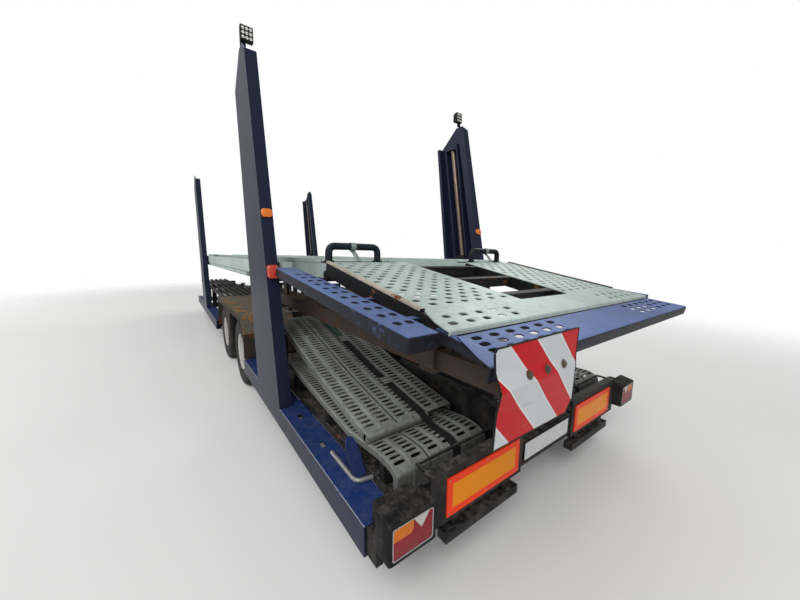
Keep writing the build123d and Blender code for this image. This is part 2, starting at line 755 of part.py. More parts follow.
spindle_y = post_inner + (post_depth - post_plate) / 2
guide_top = post_top_front
guide_half = guide_gap / 2
top_rear = rear_edge(post_top_rear)
cap_end = 190.0                # front end of the post's level top, from its rear edge
column_foot = 110.0
flange_foot = 60.0
weld = 1.0                     # depth by which joined bars enter one another
for place, shift in post_stations:
    for word, side in SIDES:
        with BuildPart() as post:
            side_plate(
                [(shift + rear_edge(rail_top), rail_top), (shift + top_rear, post_top_rear),
                 (shift + top_rear + post_column, post_top), (shift + top_rear + cap_end, post_top),
                 (shift + front_edge(post_top_front), post_top_front),
                 (shift + front_edge(rail_top), rail_top)],
                (side * plate_inner, side * half_width),
            )
            depth = (side * post_inner, side * (plate_inner + weld))
            side_plate(
                [(shift + rear_edge(rail_top), rail_top), (shift + top_rear, post_top_rear),
                 (shift + top_rear + post_column, post_top_rear),
                 (shift + rear_edge(rail_top) + column_foot, rail_top)],
                depth,
            )
            side_plate(
                [(shift + front_edge(rail_top) - flange_foot, rail_top),
                 (shift + front_edge(guide_top) - post_front_flange, guide_top),
                 (shift + front_edge(guide_top), guide_top), (shift + front_edge(rail_top), rail_top)],
                depth,
            )
            for edge in (-guide_half - guide_wall, guide_half):
                side_plate(
                    [(shift + lift_line(z) + edge + w, z) for z, w in (
                        (rail_top, 0), (guide_top, 0), (guide_top, guide_wall), (rail_top, guide_wall))],
                    depth,
                )
            for z in (rail_top, guide_top - bearing_height):
                side_plate(
                    [(shift + lift_line(h) + e, h) for h, e in (
                        (z, -guide_half), (z + bearing_height, -guide_half),
                        (z + bearing_height, guide_half), (z, guide_half))],
                    depth,
                )
        save(post, f"{word}_{place}_post")

lean = atan(lift_lean)


def across_lift(shift, side, z):
    """The plane square to a spindle at a height, its origin on the spindle."""
    return Plane(
        origin=(at(shift + lift_line(z)), side * spindle_y, z),
        x_dir=(cos(lean), 0, -sin(lean)), z_dir=(sin(lean), 0, cos(lean)))


with BuildPart() as spindles:
    low = rail_top + bearing_height
    high = guide_top - bearing_height
    end = spindle_radius * tan(lean)
    for _, shift in post_stations:
        for _, side in SIDES:
            with BuildSketch(across_lift(shift, side, low).offset(end)):
                RegularPolygon(spindle_radius, bar_flats)
            extrude(amount=(high - low) / cos(lean) - 2 * end)
save(spindles, "lift_spindles")

# Upper deck: side beams and ribs on cross members, with lift carriages that run inside the posts
hinge_lug = 30.0
lug_half = 25.0
lug_slope = 30.0
rib_gap = 5.0                  # between a rib and the tail beside it
beam_nose = 120.0              # slope under the side beams' rear ends
beam_nose_height = 40.0
with BuildPart() as deck_beams:
    for _, side in SIDES:
        side_plate(
            [(deck_beam_rear, deck_beam_bottom + beam_nose_height), (deck_beam_rear, deck_beam_top),
             (deck_front, deck_beam_top), (deck_front, deck_beam_bottom),
             (deck_beam_rear + beam_nose, deck_beam_bottom)],
            (side * deck_beam_inner, side * deck_beam_outer),
        )
        for low in (track_inner, track_outer - rib_width):
            side_plate(
                [(hinge_station - hinge_lug, hinge_height - lug_half),
                 (hinge_station - hinge_lug, hinge_height + lug_half),
                 (deck_rear + lug_slope, deck_top - deck_plate), (deck_front, deck_top - deck_plate),
                 (deck_front, rib_bottom), (deck_rear, rib_bottom)],
                (side * low, side * (low + rib_width - rib_gap)),
            )
        cross_pipe(hinge_pin_radius + pin_gap, hinge_station, hinge_height,
                   (side * (track_inner - rib_gap), side * track_outer), Mode.SUBTRACT, over=True)
save(deck_beams, "upper_deck_beams")

with BuildPart() as deck_members:
    for s in deck_cross_stations:
        block((at(s - deck_cross_width / 2), at(s + deck_cross_width / 2)),
              (-deck_beam_inner, deck_beam_inner),
              (rib_bottom - deck_cross_height, rib_bottom))
save(deck_members, "upper_deck_cross_members")

carriage_middle = (deck_beam_bottom + deck_beam_top) / 2
with BuildPart() as carriages:
    for _, side in SIDES:
        for _, shift in post_stations:
            low, high = carriage_middle - carriage_height / 2, carriage_middle + carriage_height / 2
            reach = guide_half - running_gap
            side_plate(
                [(shift + lift_line(h) + e, h) for h, e in (
                    (low, -reach), (high, -reach), (high, reach), (low, reach))],
                (side * deck_beam_outer, side * (plate_inner - running_gap)),
            )
            with BuildSketch(across_lift(shift, side, carriage_middle).offset(-carriage_height)):
                RegularPolygon(spindle_radius + pin_gap, bar_flats)
            extrude(amount=2 * carriage_height, mode=Mode.SUBTRACT)
save(carriages, "lift_carriages")

# Wheel stops: bent tubes on a base plate at the rear end of each track
hoop_radius = 26.0
hoop_station = 1175.0
hoop_inner = 145.0             # leg, out from the track's inner edge
hoop_outer = 40.0              # leg, in from the track's outer edge
hoop_height = 135.0
hoop_bend = 45.0
hoop_flats = 8
hoop_base = (deck_rear + lug_slope, hoop_station + 45.0)
with BuildPart() as hoops:
    for _, side in SIDES:
        x = at(hoop_station)
        near, far = side * (track_inner + hoop_inner), side * (track_outer - hoop_outer)
        top = deck_top + hoop_height - hoop_radius
        with BuildLine() as path:
            Polyline((x, near, deck_top), (x, near, top - hoop_bend), (x, near + side * hoop_bend, top),
                     (x, far - side * hoop_bend, top), (x, far, top - hoop_bend), (x, far, deck_top))
        with BuildSketch(Plane.XY.offset(deck_top)) as tube_end:
            with Locations((x, near)):
                RegularPolygon(hoop_radius, hoop_flats)
        sweep(tube_end.sketch, path=path.line, transition=Transition.RIGHT)
        block((at(hoop_base[0]), at(hoop_base[1])), (side * track_inner, side * track_outer),
              (deck_top - deck_plate, deck_top))
save(hoops, "wheel_stop_hoops")

track_gap = 5.0                # between the stops' base plate and the track
track_start = hoop_base[1] + track_gap
lip_width = 8.0
deck_openings = 12             # openings along each track
deck_opening_length = 380.0
deck_opening_width = 240.0
deck_opening_pitch = (deck_front - track_start) / deck_openings
track_middle = (track_inner + track_outer) / 2
with BuildPart() as upper_tracks:
    for _, side in SIDES:
        section(
            [(side * y, z) for y, z in (
                (track_inner, deck_top - deck_plate), (track_inner, deck_top + track_lip),
                (track_inner + lip_width, deck_top + track_lip), (track_inner + lip_width, deck_top),
                (track_outer - lip_width, deck_top), (track_outer - lip_width, deck_top + track_lip),
                (track_outer, deck_top + track_lip), (track_outer, deck_top - deck_plate))],
            (track_start, deck_front),
        )
        for k in range(deck_openings):
            s = track_start + (k + 0.5) * deck_opening_pitch
            block((at(s - deck_opening_length / 2), at(s + deck_opening_length / 2)),
                  (side * (track_middle - deck_opening_width / 2), side * (track_middle + deck_opening_width / 2)),
                  (deck_top - deck_plate, deck_top), Mode.SUBTRACT)
save(upper_tracks, "upper_tracks")

# Long tubes under the deck's side beams
tube_radius = 32.0
tube_range = (3000.0, 8000.0)
tube_inset = 3.0               # from the side beam's inner face
tube_y = deck_beam_inner + tube_radius + tube_inset
with BuildPart() as tubes:
    for _, side in SIDES:
        long_pipe(tube_radius, side * tube_y, deck_beam_bottom - tube_radius, tube_range)
save(tubes, "deck_side_tubes")

# Level telescopic beams below the tail, hung from the deck ribs, each with a clamp at the sleeve's mouth
sleeve_inset = 15.0            # outer face, in from the track's outer edge
sleeve_width = 110.0
sleeve_bottom = 1075.0
sleeve_top = 1175.0
sleeve_end = 40.0
sleeve_front = 2300.0
sleeve_wall = 8.0
nose_ends = (-385.0, 0.0)      # left one drawn out, right one pushed in
clamp_wall = 10.0
clamp_length = 90.0
hanger_stations = (1300.0, 2200.0)
hanger_low_half = 60.0
hanger_high_half = 40.0
hanger_plate = 20.0
sleeve_outer = track_outer - sleeve_inset
sleeve_inner = sleeve_outer - sleeve_width
with BuildPart() as support_beams:
    for (_, side), nose_end in zip(SIDES, nose_ends):
        block((at(sleeve_end), at(sleeve_front)), (side * sleeve_inner, side * sleeve_outer),
              (sleeve_bottom, sleeve_top))
        block((at(nose_end), at(sleeve_end)),
              (side * (sleeve_inner + sleeve_wall), side * (sleeve_outer - sleeve_wall)),
              (sleeve_bottom + sleeve_wall, sleeve_top - sleeve_wall))
        block((at(sleeve_end), at(sleeve_end + clamp_length)),
              (side * (sleeve_inner - clamp_wall), side * (sleeve_outer + clamp_wall)),
              (sleeve_bottom - clamp_wall, sleeve_top + clamp_wall))
        for s in hanger_stations:
            side_plate([(s - hanger_low_half, sleeve_top), (s + hanger_low_half, sleeve_top),
                        (s + hanger_high_half, rib_bottom), (s - hanger_high_half, rib_bottom)],
                       (side * (track_outer - rib_width), side * (track_outer - rib_width + hanger_plate)))
save(support_beams, "tail_support_beams")

# Striped board on the end of the drawn-out beam: a sheet bent outwards along a level ridge
BOARD_LINE = (  # station, z
    (-400.0, 1318.0), (-400.0, 1238.0), (-428.0, 1192.0), (-412.0, 1118.0), (-402.0, 1006.0),
)
board_sheet = 5.0
board_offset = 42.0            # middle of the board, in from the sleeve's outer face
board_middle = sleeve_outer - board_offset
board_half = 239.0
board_ends = (board_middle - board_half, board_middle + board_half)
with BuildPart() as board:
    side_plate(list(BOARD_LINE) + [(s + board_sheet, z) for s, z in reversed(BOARD_LINE)], board_ends)
save(board, "striped_panel")

# Bracket that carries the board, an upright plate on the drawn-out beam's end
bracket_top = 1300.0
bracket_back = BOARD_LINE[0][0] + board_sheet
with BuildPart() as board_bracket:
    block((at(bracket_back), at(nose_ends[0])), (sleeve_inner, sleeve_outer),
          (sleeve_bottom + sleeve_wall, bracket_top))
save(board_bracket, "panel_brackets")

# Tail: a sloping frame hinged to the deck's ribs, with tracks, cross plates and side walkways
tail_angle = atan(tail_slope)
kink_station = 1075.0
opening_length = 34.0          # pressed openings, along the slope
opening_width = 46.0
first_row = 90.0               # distance of the tracks' first row of openings from the kink
track_rows = 8
row_pitch = 120.0
column_pitch = 105.0
edge_margin = 60.0             # from the tracks' edges to the middle of an opening
tail_plane = Plane(
    origin=(at(kink_station), 0, deck_top),
    x_dir=(cos(tail_angle), 0, sin(tail_angle)), z_dir=(-sin(tail_angle), 0, cos(tail_angle)))


def on_tail(points, low, high, mode=Mode.ADD):
    """A plate in the tail's slope: outline of (distance forward of the kink, y), between two depths."""
    with BuildSketch(tail_plane.offset(low)) as outline:
        with BuildLine():
            Polyline(*points, close=True)
        make_face()
    extrude(outline.sketch, amount=high - low, mode=mode)


def both_ways(points):
    """An outline given for y above zero, closed by its mirror image."""
    return list(points) + [(u, -y) for u, y in reversed(points)]


def openings(plane, places, low, high, width=opening_width):
    """Pressed openings through a sloping plate, at (distance along the slope, y)."""
    with BuildSketch(plane.offset(low)) as outline:
        with Locations(*places):
            Rectangle(opening_length, width)
    extrude(outline.sketch, amount=high - low, mode=Mode.SUBTRACT)


front_gap = 12.0               # between the tail's plates and the kink
tail_gap_front = track_inner - tail_narrowing
tail_gap_rear = tail_gap_front - tail_taper
track_end = -(tail_length - cross_plate_length)
side_out = track_outer + tail_side
rib = 45.0
side_lip = 8.0
boss_radius = 34.0
boss_flats = 8
bar_half = 25.0
lip_end = 4.0                  # side lip, short of the cross plate
slat_step = 15.0               # cross bars, short of the side beams' depth
end_bar = 30.0
cross_bar_depth = tail_depth - slat_step
cross_bar_rows = (0.5, 3.5, 6.5)   # cross bars, between the rows of openings
with BuildPart() as tail_frame:
    for _, side in SIDES:
        on_tail([(-front_gap, side * track_outer), (-front_gap, side * side_out),
                 (-tail_length, side * side_out), (-tail_length, side * track_outer)],
                -tail_depth, -tail_plate)
        on_tail([(-front_gap, side * track_outer), (-front_gap, side * side_out),
                 (track_end + lip_end, side * side_out), (track_end + lip_end, side * track_outer)],
                -tail_plate, side_lip)
        on_tail([(-front_gap, side * tail_gap_front), (-front_gap, side * (tail_gap_front + rib)),
                 (-tail_length, side * (tail_gap_rear + rib)), (-tail_length, side * tail_gap_rear)],
                -tail_depth, -tail_plate)
    for row in cross_bar_rows:
        u = -first_row - row * row_pitch
        on_tail(both_ways([(u + bar_half, track_outer + weld), (u - bar_half, track_outer + weld)]),
                -cross_bar_depth, -tail_plate)
    on_tail(both_ways([(end_bar - tail_length, track_outer + weld), (-tail_length, track_outer + weld)]),
            -cross_bar_depth, -tail_plate)
    for _, side in SIDES:
        for low, high in ((track_outer, side_out), (tail_gap_front, tail_gap_front + rib)):
            cross_pipe(boss_radius, hinge_station, hinge_height, (side * low, side * high), flats=boss_flats)
        cross_pin(hinge_pin_radius, hinge_station, hinge_height, (side * tail_gap_front, side * side_out))
save(tail_frame, "tail_frame")

inner_slope = tail_taper / (tail_length - front_gap)
with BuildPart() as tail_tracks:
    for _, side in SIDES:
        inner_end = tail_gap_front + inner_slope * (track_end + front_gap)
        on_tail([(-front_gap, side * tail_gap_front), (-front_gap, side * track_outer),
                 (track_end, side * track_outer), (track_end, side * inner_end)], -tail_plate, 0)
        places = []
        for row in range(track_rows):
            u = -first_row - row * row_pitch
            first = track_outer - edge_margin - (row % 2) * column_pitch / 2
            last = tail_gap_front + inner_slope * u + edge_margin
            for k in range(int((first - last) / column_pitch) + 1):
                places.append((u, side * (first - k * column_pitch)))
        openings(tail_plane, places, -tail_plate, 0)
save(tail_tracks, "tail_tracks")

# Galvanised plate across the tail's end, its rear edge folded down, perforated at both ends
end_rows = (129.0, 59.0)       # distance of each row of openings from the rear edge
end_columns = 5
end_shift = 20.0               # second row, out from the first
end_chamfer = 60.0
end_first = 45.0               # outermost opening, in from the tracks' outer edge
plate_fold = 19.0
cross_plate_half = track_outer + cross_plate_overhang
with BuildPart() as cross_plate:
    on_tail(both_ways([(track_end, cross_plate_half - end_chamfer),
                       (-tail_length + end_chamfer, cross_plate_half),
                       (-tail_length, cross_plate_half)]), -tail_plate, 0)
    on_tail(both_ways([(-tail_length, cross_plate_half), (-tail_length - tail_plate, cross_plate_half)]),
            -plate_fold, 0)
    for _, side in SIDES:
        openings(tail_plane, [(-tail_length + distance,
                               side * (track_outer - end_first + row * end_shift - k * column_pitch))
                              for row, distance in enumerate(end_rows) for k in range(end_columns)],
                 -tail_plate, 0)
save(cross_plate, "tail_cross_plate")

# Blue plate across the tail's end, folded down at its rear edge, on two arms of its own
rear_plate_half = half_width - rear_plate_inset
rear_plate_gap = 26.0          # behind the frame
rear_plate_start = -tail_length - rear_plate_gap
rear_plate_end = rear_plate_start - rear_plate_length
rear_plate_front = 45.0        # front corners, out from the tracks' outer edge
rear_plate_flare = 30.0
rear_plate_fold = 55.0
fold_thickness = 8.0
rear_rows = (35.0, 83.0, 131.0)    # distance of each row of openings from the plate's front edge
rear_columns = 6
rear_first = 20.0              # outermost opening, in from the tracks' outer edge
side_bar_width = 33.0
side_bar_depth = 40.0
side_bar_front = 75.0          # ends of the side bars, from the rear edge of the tail's frame
side_bar_rear = -170.0
with BuildPart() as rear_plate:
    on_tail(both_ways([(rear_plate_start, track_outer + rear_plate_front),
                       (rear_plate_end + rear_plate_flare, rear_plate_half),
                       (rear_plate_end, rear_plate_half)]), -rear_plate_drop - tail_plate, -rear_plate_drop)
    on_tail(both_ways([(rear_plate_end + fold_thickness, rear_plate_half),
                       (rear_plate_end, rear_plate_half)]),
            -rear_plate_drop - rear_plate_fold, -rear_plate_drop)
    for _, side in SIDES:
        near, far = side * side_out, side * (side_out + side_bar_width)
        front, rear = -tail_length + side_bar_front, -tail_length + side_bar_rear
        on_tail([(front, near), (front, far), (rear, far), (rear, near)],
                -rear_plate_drop - tail_plate - side_bar_depth, -rear_plate_drop - tail_plate)
        openings(tail_plane, [(rear_plate_start - distance,
                               side * (track_outer - rear_first - k * column_pitch))
                              for distance in rear_rows for k in range(rear_columns)],
                 -rear_plate_drop - tail_plate, -rear_plate_drop)
save(rear_plate, "tail_rear_plate")

# Side walkways: channels folded down along both edges, on brackets from the tail's side beams
walk_inner = side_out + walk_gap
walk_outer = half_width - walk_inset
walk_slope = (walk_front[1] - walk_rear[1]) / (walk_front[0] - walk_rear[0])
walk_angle = atan(walk_slope)
walk_plane = Plane(
    origin=(at(walk_rear[0]), 0, walk_rear[1]),
    x_dir=(cos(walk_angle), 0, sin(walk_angle)), z_dir=(-sin(walk_angle), 0, cos(walk_angle)))
walk_holes = 11
walk_first = 147.0             # first pair of openings, from the rear end
walk_pitch = 114.0
walk_rows = (29.0, 88.0)       # rows of openings, out from the inner edge
walk_opening = 36.0
bracket_places = (210.0, 570.0, 970.0)
bracket_half = 25.0
bracket_low = 45.0             # below and above the walkway's face
bracket_high = 28.0
with BuildPart() as walkways:
    for _, side in SIDES:
        front_s, front_z = walk_front
        rear_s, rear_z = walk_rear
        side_plate([walk_front, walk_rear, (rear_s, rear_z - tail_plate), (front_s, front_z - tail_plate)],
                   (side * walk_inner, side * walk_outer))
        for y in (walk_inner, walk_outer - tail_plate):
            side_plate([walk_front, walk_rear, (rear_s, rear_z - walk_fold), (front_s, front_z - walk_fold)],
                       (side * y, side * (y + tail_plate)))
        side_plate([walk_rear, (rear_s, rear_z - walk_fold), (rear_s + tail_plate, rear_z - walk_fold),
                    (rear_s + tail_plate, rear_z)], (side * walk_inner, side * walk_outer))
        openings(walk_plane, [(walk_first + k * walk_pitch, side * (walk_inner + row))
                              for k in range(walk_holes) for row in walk_rows],
                 -2 * tail_plate, tail_plate, walk_opening)
        for place in bracket_places:
            s = rear_s + place
            z = rear_z + walk_slope * place
            block((at(s - bracket_half), at(s + bracket_half)), (side * side_out, side * walk_inner),
                  (z - bracket_low, z + bracket_high))
save(walkways, "tail_walkways")

# Square work lamps on the rear posts, and the small lamps on the posts' rear faces
lamp_length = 70.0
lamp_height = 110.0
lamp_face = 95.0
lamp_foot = 40.0
foot_half = 10.0
foot_width = 30.0
red_lamp_height = 1430.0
orange_lamp_height = 1870.0
POST_LAMPS = (  # height, half its height, depth
    (red_lamp_height, 50.0, 60.0),
    (orange_lamp_height, 32.0, 18.0),
)
post_lamp_width = 80.0
post_lamp_inset = 5.0
with BuildPart() as work_lamps:
    for _, side in SIDES:
        s = top_rear + (post_column + cap_end) / 2
        block((at(s - foot_half), at(s + foot_half)), (side * (plate_inner - foot_width), side * half_width),
              (post_top, post_top + lamp_foot))
        block((at(s - lamp_length / 2), at(s + lamp_length / 2)),
              (side * (half_width - lamp_face), side * half_width),
              (post_top + lamp_foot, post_top + lamp_foot + lamp_height))
save(work_lamps, "work_lamps")
with BuildPart() as post_lamps:
    for _, side in SIDES:
        for z, half, depth in POST_LAMPS:
            low, high = rear_edge(z - half), rear_edge(z + half)
            side_plate([(low - depth, z - half), (high - depth, z + half),
                        (high, z + half), (low, z - half)],
                       (side * (half_width - post_lamp_inset - post_lamp_width),
                        side * (half_width - post_lamp_inset)))
save(post_lamps, "post_lamps")
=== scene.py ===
# %% [markdown]
# # A car transporter trailer, dressed
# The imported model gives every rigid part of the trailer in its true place. This script loads it,
# looks at it from where the photograph was taken, gives each part a worn finish, and replaces
# the parts whose detail a plain solid lacks: pressed plates, slotted ramps, wheels, lamps.

import json
from math import atan, cos, pi, sin

import bpy
import numpy as np
from mathutils import Matrix, Vector


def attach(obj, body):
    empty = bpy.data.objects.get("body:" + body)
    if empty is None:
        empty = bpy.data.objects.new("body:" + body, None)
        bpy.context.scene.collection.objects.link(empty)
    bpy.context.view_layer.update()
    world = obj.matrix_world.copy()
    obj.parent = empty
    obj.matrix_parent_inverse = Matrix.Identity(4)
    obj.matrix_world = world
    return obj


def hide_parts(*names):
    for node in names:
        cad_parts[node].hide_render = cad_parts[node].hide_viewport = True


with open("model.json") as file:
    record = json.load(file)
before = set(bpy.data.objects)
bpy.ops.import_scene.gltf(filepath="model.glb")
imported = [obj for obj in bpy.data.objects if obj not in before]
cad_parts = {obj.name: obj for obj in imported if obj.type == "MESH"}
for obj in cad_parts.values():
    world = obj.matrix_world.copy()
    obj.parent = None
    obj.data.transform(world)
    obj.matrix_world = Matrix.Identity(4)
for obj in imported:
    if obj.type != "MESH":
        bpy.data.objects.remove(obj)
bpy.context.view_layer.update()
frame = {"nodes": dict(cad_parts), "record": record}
nodes = frame["nodes"]
MID = 5.020                     # x of the model is the station minus this, in metres
SIDES = (("left", 1), ("right", -1))

# %% [markdown]
# ## Camera, floor and light
# The camera was solved from things of known size: marker plates, number plate, lamps. It stands
# 1.56 m high and about 0.9 m behind the left rear corner, and it is a very wide lens.
# A camera's columns are its right, its up and its backward direction in the world.

# %% Camera
SENSOR = 36.0
FOCAL = 311.46 / 800 * SENSOR
YAW, PITCH, ROLL = -0.638092, 0.139801, -0.015795
EYE = Vector((-0.893 - MID, 1.852, 1.560))


def camera_turn(yaw, pitch, roll):
    """Matrix of a camera that looks along yaw, pitched down, then rolled about its own axis."""
    forward = Vector((cos(pitch) * cos(yaw), cos(pitch) * sin(yaw), -sin(pitch)))
    level = Vector((sin(yaw), -cos(yaw), 0.0))
    below = forward.cross(level)
    right = level * cos(roll) + below * sin(roll)
    down = below * cos(roll) - level * sin(roll)
    return Matrix((right, -down, -forward)).transposed().to_4x4()


eyepiece = bpy.data.cameras.new("eyepiece")
eyepiece.sensor_width = SENSOR
eyepiece.lens = FOCAL
eyepiece.clip_start = 0.05
camera = bpy.data.objects.new("camera", eyepiece)
camera.matrix_world = Matrix.Translation(EYE) @ camera_turn(YAW, PITCH, ROLL)
bpy.context.scene.collection.objects.link(camera)
bpy.context.scene.camera = camera
bpy.context.scene.view_settings.view_transform = "Standard"
print("lens", round(FOCAL, 2), "mm, eye", tuple(round(v, 3) for v in EYE))

# %% [markdown]
# ## Shader sums as Python
# A worn surface is a sum of masks: dust where it faces up, rust in patches, scratches in lines.
# Written as nodes one by one this is long, so one small class wraps a socket. Its operators add
# Math nodes, and its one method adds any other node.

# %% A socket that can be added and multiplied
class Wire:
    """An output socket of a shader tree. a * b + 1 makes the Math nodes that say so."""

    def __init__(self, tree, socket=None):
        self.tree = tree
        self.socket = socket

    def node(self, kind, settings=None, sockets=None, out=0):
        """Any node: its type, its settings, then the values or links of its sockets."""
        made = self.tree.nodes.new(kind)
        for name, value in (settings or {}).items():
            setattr(made, name, value)
        for key, value in (sockets or {}).items():
            if isinstance(value, Wire):
                self.tree.links.new(value.socket, made.inputs[key])
            else:
                made.inputs[key].default_value = value
        return Wire(self.tree, made.outputs[out])

    def sum(self, operation, *values):
        """A Math node of this operation on the values."""
        return self.node("ShaderNodeMath", {"operation": operation}, dict(enumerate(values)))

    def __add__(self, other):
        return self.sum("ADD", self, other)

    def __sub__(self, other):
        return self.sum("SUBTRACT", self, other)

    def __rsub__(self, other):
        return self.sum("SUBTRACT", other, self)

    def __mul__(self, other):
        return self.sum("MULTIPLY", self, other)

    def __truediv__(self, other):
        return self.sum("DIVIDE", self, other)

    __radd__ = __add__
    __rmul__ = __mul__

    def least(self, other):
        """The smaller of the two values."""
        return self.sum("MINIMUM", self, other)

    def most(self, other):
        """The larger of the two values."""
        return self.sum("MAXIMUM", self, other)

    def size(self):
        """The value without its sign."""
        return self.sum("ABSOLUTE", self)

    def rise(self, low, high):
        """0 below low, 1 above high, and smooth between: high may be the smaller one."""
        return self.node("ShaderNodeMapRange", {"interpolation_type": "SMOOTHSTEP"},
                         {"Value": self, "From Min": low, "From Max": high})

    def band(self, low, high, soft=0.001):
        """1 between low and high, 0 outside."""
        return self.rise(low - soft, low) * self.rise(high + soft, high)

    def between(self, first, second):
        """A colour that goes from the first to the second as this goes from 0 to 1."""
        colours = [c if isinstance(c, Wire) else (*c, 1.0) for c in (first, second)]
        return self.node("ShaderNodeMix", {"data_type": "RGBA"},
                         {0: self, 6: colours[0], 7: colours[1]}, out=2)


# %% [markdown]
# Every finish starts from the same bench: a Principled shader, the point's own coordinates in
# metres, and noises that are sampled in them. Object coordinates stay with the part when it
# moves, so the deck keeps its scratches while it rises.

# %% The bench for one finish
WEAK_GLOSS = 0.12           # worn paint mirrors less than new paint, whose level is 0.5


class Finish:
    """A material on the bench, with its coordinates and noises at hand."""

    def __init__(self, name, roughness=0.5, metallic=0.0, **fixed):
        self.material = bpy.data.materials.new(name)
        self.material.use_nodes = True
        self.tree = self.material.node_tree
        self.shader = next(n for n in self.tree.nodes if n.type == "BSDF_PRINCIPLED")
        self.shader.inputs["Roughness"].default_value = roughness
        self.shader.inputs["Metallic"].default_value = metallic
        self.shader.inputs["Specular IOR Level"].default_value = WEAK_GLOSS
        for key, value in fixed.items():
            self.shader.inputs[key.replace("_", " ")].default_value = value
        self.bare = Wire(self.tree)
        self.place = self.bare.node("ShaderNodeTexCoord", out="Object")
        split = self.bare.node("ShaderNodeSeparateXYZ", sockets={0: self.place})
        self.x, self.y, self.z = (Wire(self.tree, split.socket.node.outputs[k]) for k in range(3))
        facing = self.bare.node("ShaderNodeTexCoord", out="Normal")
        self.faces_z = self.bare.node("ShaderNodeSeparateXYZ", sockets={0: facing}, out="Z")

    def stretched(self, stretch, shift=0.0):
        """The point's place, shifted and stretched, for a noise to read."""
        return self.bare.node("ShaderNodeMapping", sockets={
            "Vector": self.place, "Scale": stretch, "Location": (shift, shift * 0.7, shift * 1.3)})

    def noise(self, scale, detail=4.0, rough=0.55, stretch=(1, 1, 1), shift=0.0):
        """Cloudy noise from 0 to 1, scale to the metre."""
        return self.bare.node("ShaderNodeTexNoise", sockets={
            "Vector": self.stretched(stretch, shift), "Scale": scale, "Detail": detail,
            "Roughness": rough})

    def cells(self, scale, feature="F1"):
        """Distance to the nearest of scattered points, or to the edge between two of them."""
        return self.bare.node("ShaderNodeTexVoronoi", {"feature": feature}, {
            "Vector": self.place, "Scale": scale})

    def colour(self, value):
        """The colour, wherever it is looked at."""
        self.feed("Base Color", value)

    def rough(self, value):
        """The roughness: 0 is a mirror, 1 is chalk."""
        self.feed("Roughness", value)

    def metal(self, value):
        """How metallic: less where rust or dust lies on it."""
        self.feed("Metallic", value)

    def relief(self, height, strength=0.5, distance=0.002):
        """Fine relief: a Bump node turns the height, in metres of distance, into a normal."""
        bump = self.bare.node("ShaderNodeBump", sockets={
            "Height": height, "Strength": strength, "Distance": distance})
        self.feed("Normal", bump)

    def feed(self, name, value):
        """Links a value that varies over the surface to one of the shader's sockets."""
        self.tree.links.new(value.socket, self.shader.inputs[name])


print("bench ready")

# %% [markdown]
# ## Worn paint
# Nearly everything here is painted or galvanised steel that has worked outdoors. The recipe:
# 1. a base colour that drifts a little from place to place,
# 2. scuffs, long thin noise along the trailer where loads and boots rub,
# 3. rust, in patches where one noise is high and broken up by a finer one,
# 4. dust that settles on faces that look up, and dirt thrown up near the ground,
# 5. painted shade on sides and under faces, a near black where the finish asks for it,
# 6. bare metal along the outer edge of the rails, which everything rubs against.
#
# Rust and dust are rough, sound paint is not, and rust stands a little proud.

# %% Recipe for worn steel
DUST = (0.23, 0.205, 0.175)
RUST = (0.16, 0.065, 0.03)
# near black of the painted shade on sides and under faces
PAINTED_SHADE_BLACK = (0.016, 0.016, 0.018)
BRIGHT = (0.52, 0.55, 0.62)
SCUFF_LINES = (0.35, 5.0, 5.0)      # a noise stretched so is long and thin along x


def worn_steel(name, base, scuffed, rust, dust, dirt, roughness, metallic=0.0, drift=0.25,
               painted_shade=0.0, rust_colour=RUST, bright_edge=0.0):
    """Painted or galvanised steel: base and scuffed colour, then how much of each wear, 0 to 1.

    bright_edge is the distance from the middle plane beyond which the top is bare metal."""
    f = Finish(name, roughness, metallic)
    broad = f.noise(1.7, 3, shift=3.1)
    grain = f.noise(38, 5, 0.6)
    fine = f.noise(190, 3, 0.7)
    paint = (broad * 0.6 + grain * 0.4).rise(0.3, 0.7)
    dark = tuple(c * (1 - drift) for c in base)
    light = tuple(min(1.0, c * (1 + drift)) for c in base)
    skin = paint.between(dark, light)
    rub = f.noise(16, 6, 0.65, SCUFF_LINES, 7.7).rise(0.60, 0.74)
    rub = rub * f.noise(2.4, 2, shift=1.3).rise(0.38, 0.62)
    skin = (rub * 0.75).between(skin, scuffed)
    eaten = 0.74 - 0.26 * rust
    chips = (f.noise(7, 6, 0.62, shift=9.2) + (grain - 0.5) * 0.35).rise(eaten, eaten + 0.06)
    rusty = fine.between(tuple(c * 0.55 for c in rust_colour), tuple(c * 1.5 for c in rust_colour))
    skin = chips.between(skin, rusty)
    looks_up = f.faces_z.rise(0.2, 0.95)
    settled = looks_up * f.noise(24, 8, 0.68, shift=4.4).rise(0.38, 0.72) * dust
    splashed = f.noise(60, 5, 0.7, shift=2.2).rise(0.48, 0.66) * 0.5 + 0.5
    low_down = f.z.rise(1.25, 0.25)
    thrown = low_down * f.noise(11, 7, 0.66, (1, 1, 0.5), 6.0).rise(0.40, 0.70) * splashed * dirt
    veil = (settled + thrown).least(0.92)
    skin = veil.between(skin, DUST)
    # painted shade: faces that do not look up are darkened towards near black, in noisy patches
    if painted_shade:
        shade_mask = f.faces_z.rise(0.75, 0.35) * (grain * 0.5 + broad * 0.5).rise(0.20, 0.45) * painted_shade
        skin = shade_mask.between(skin, PAINTED_SHADE_BLACK)
    if bright_edge:
        outside = f.y.size().rise(bright_edge - 0.001, bright_edge + 0.001)
        bare = outside * f.faces_z.rise(0.4, 0.6) * grain.rise(0.30, 0.42)
        skin = (bare * 0.85).between(skin, BRIGHT)
    f.colour(skin)
    wear = chips * 0.4 + veil * 0.35 + rub * 0.1 + grain * 0.12
    f.rough((wear + roughness - 0.06).least(0.97))
    if metallic:
        f.metal((1 - chips) * (1 - veil) * metallic)
    f.relief(chips * 0.6 + fine * 0.25 + grain * 0.35, 0.35, 0.0015)
    return f.material


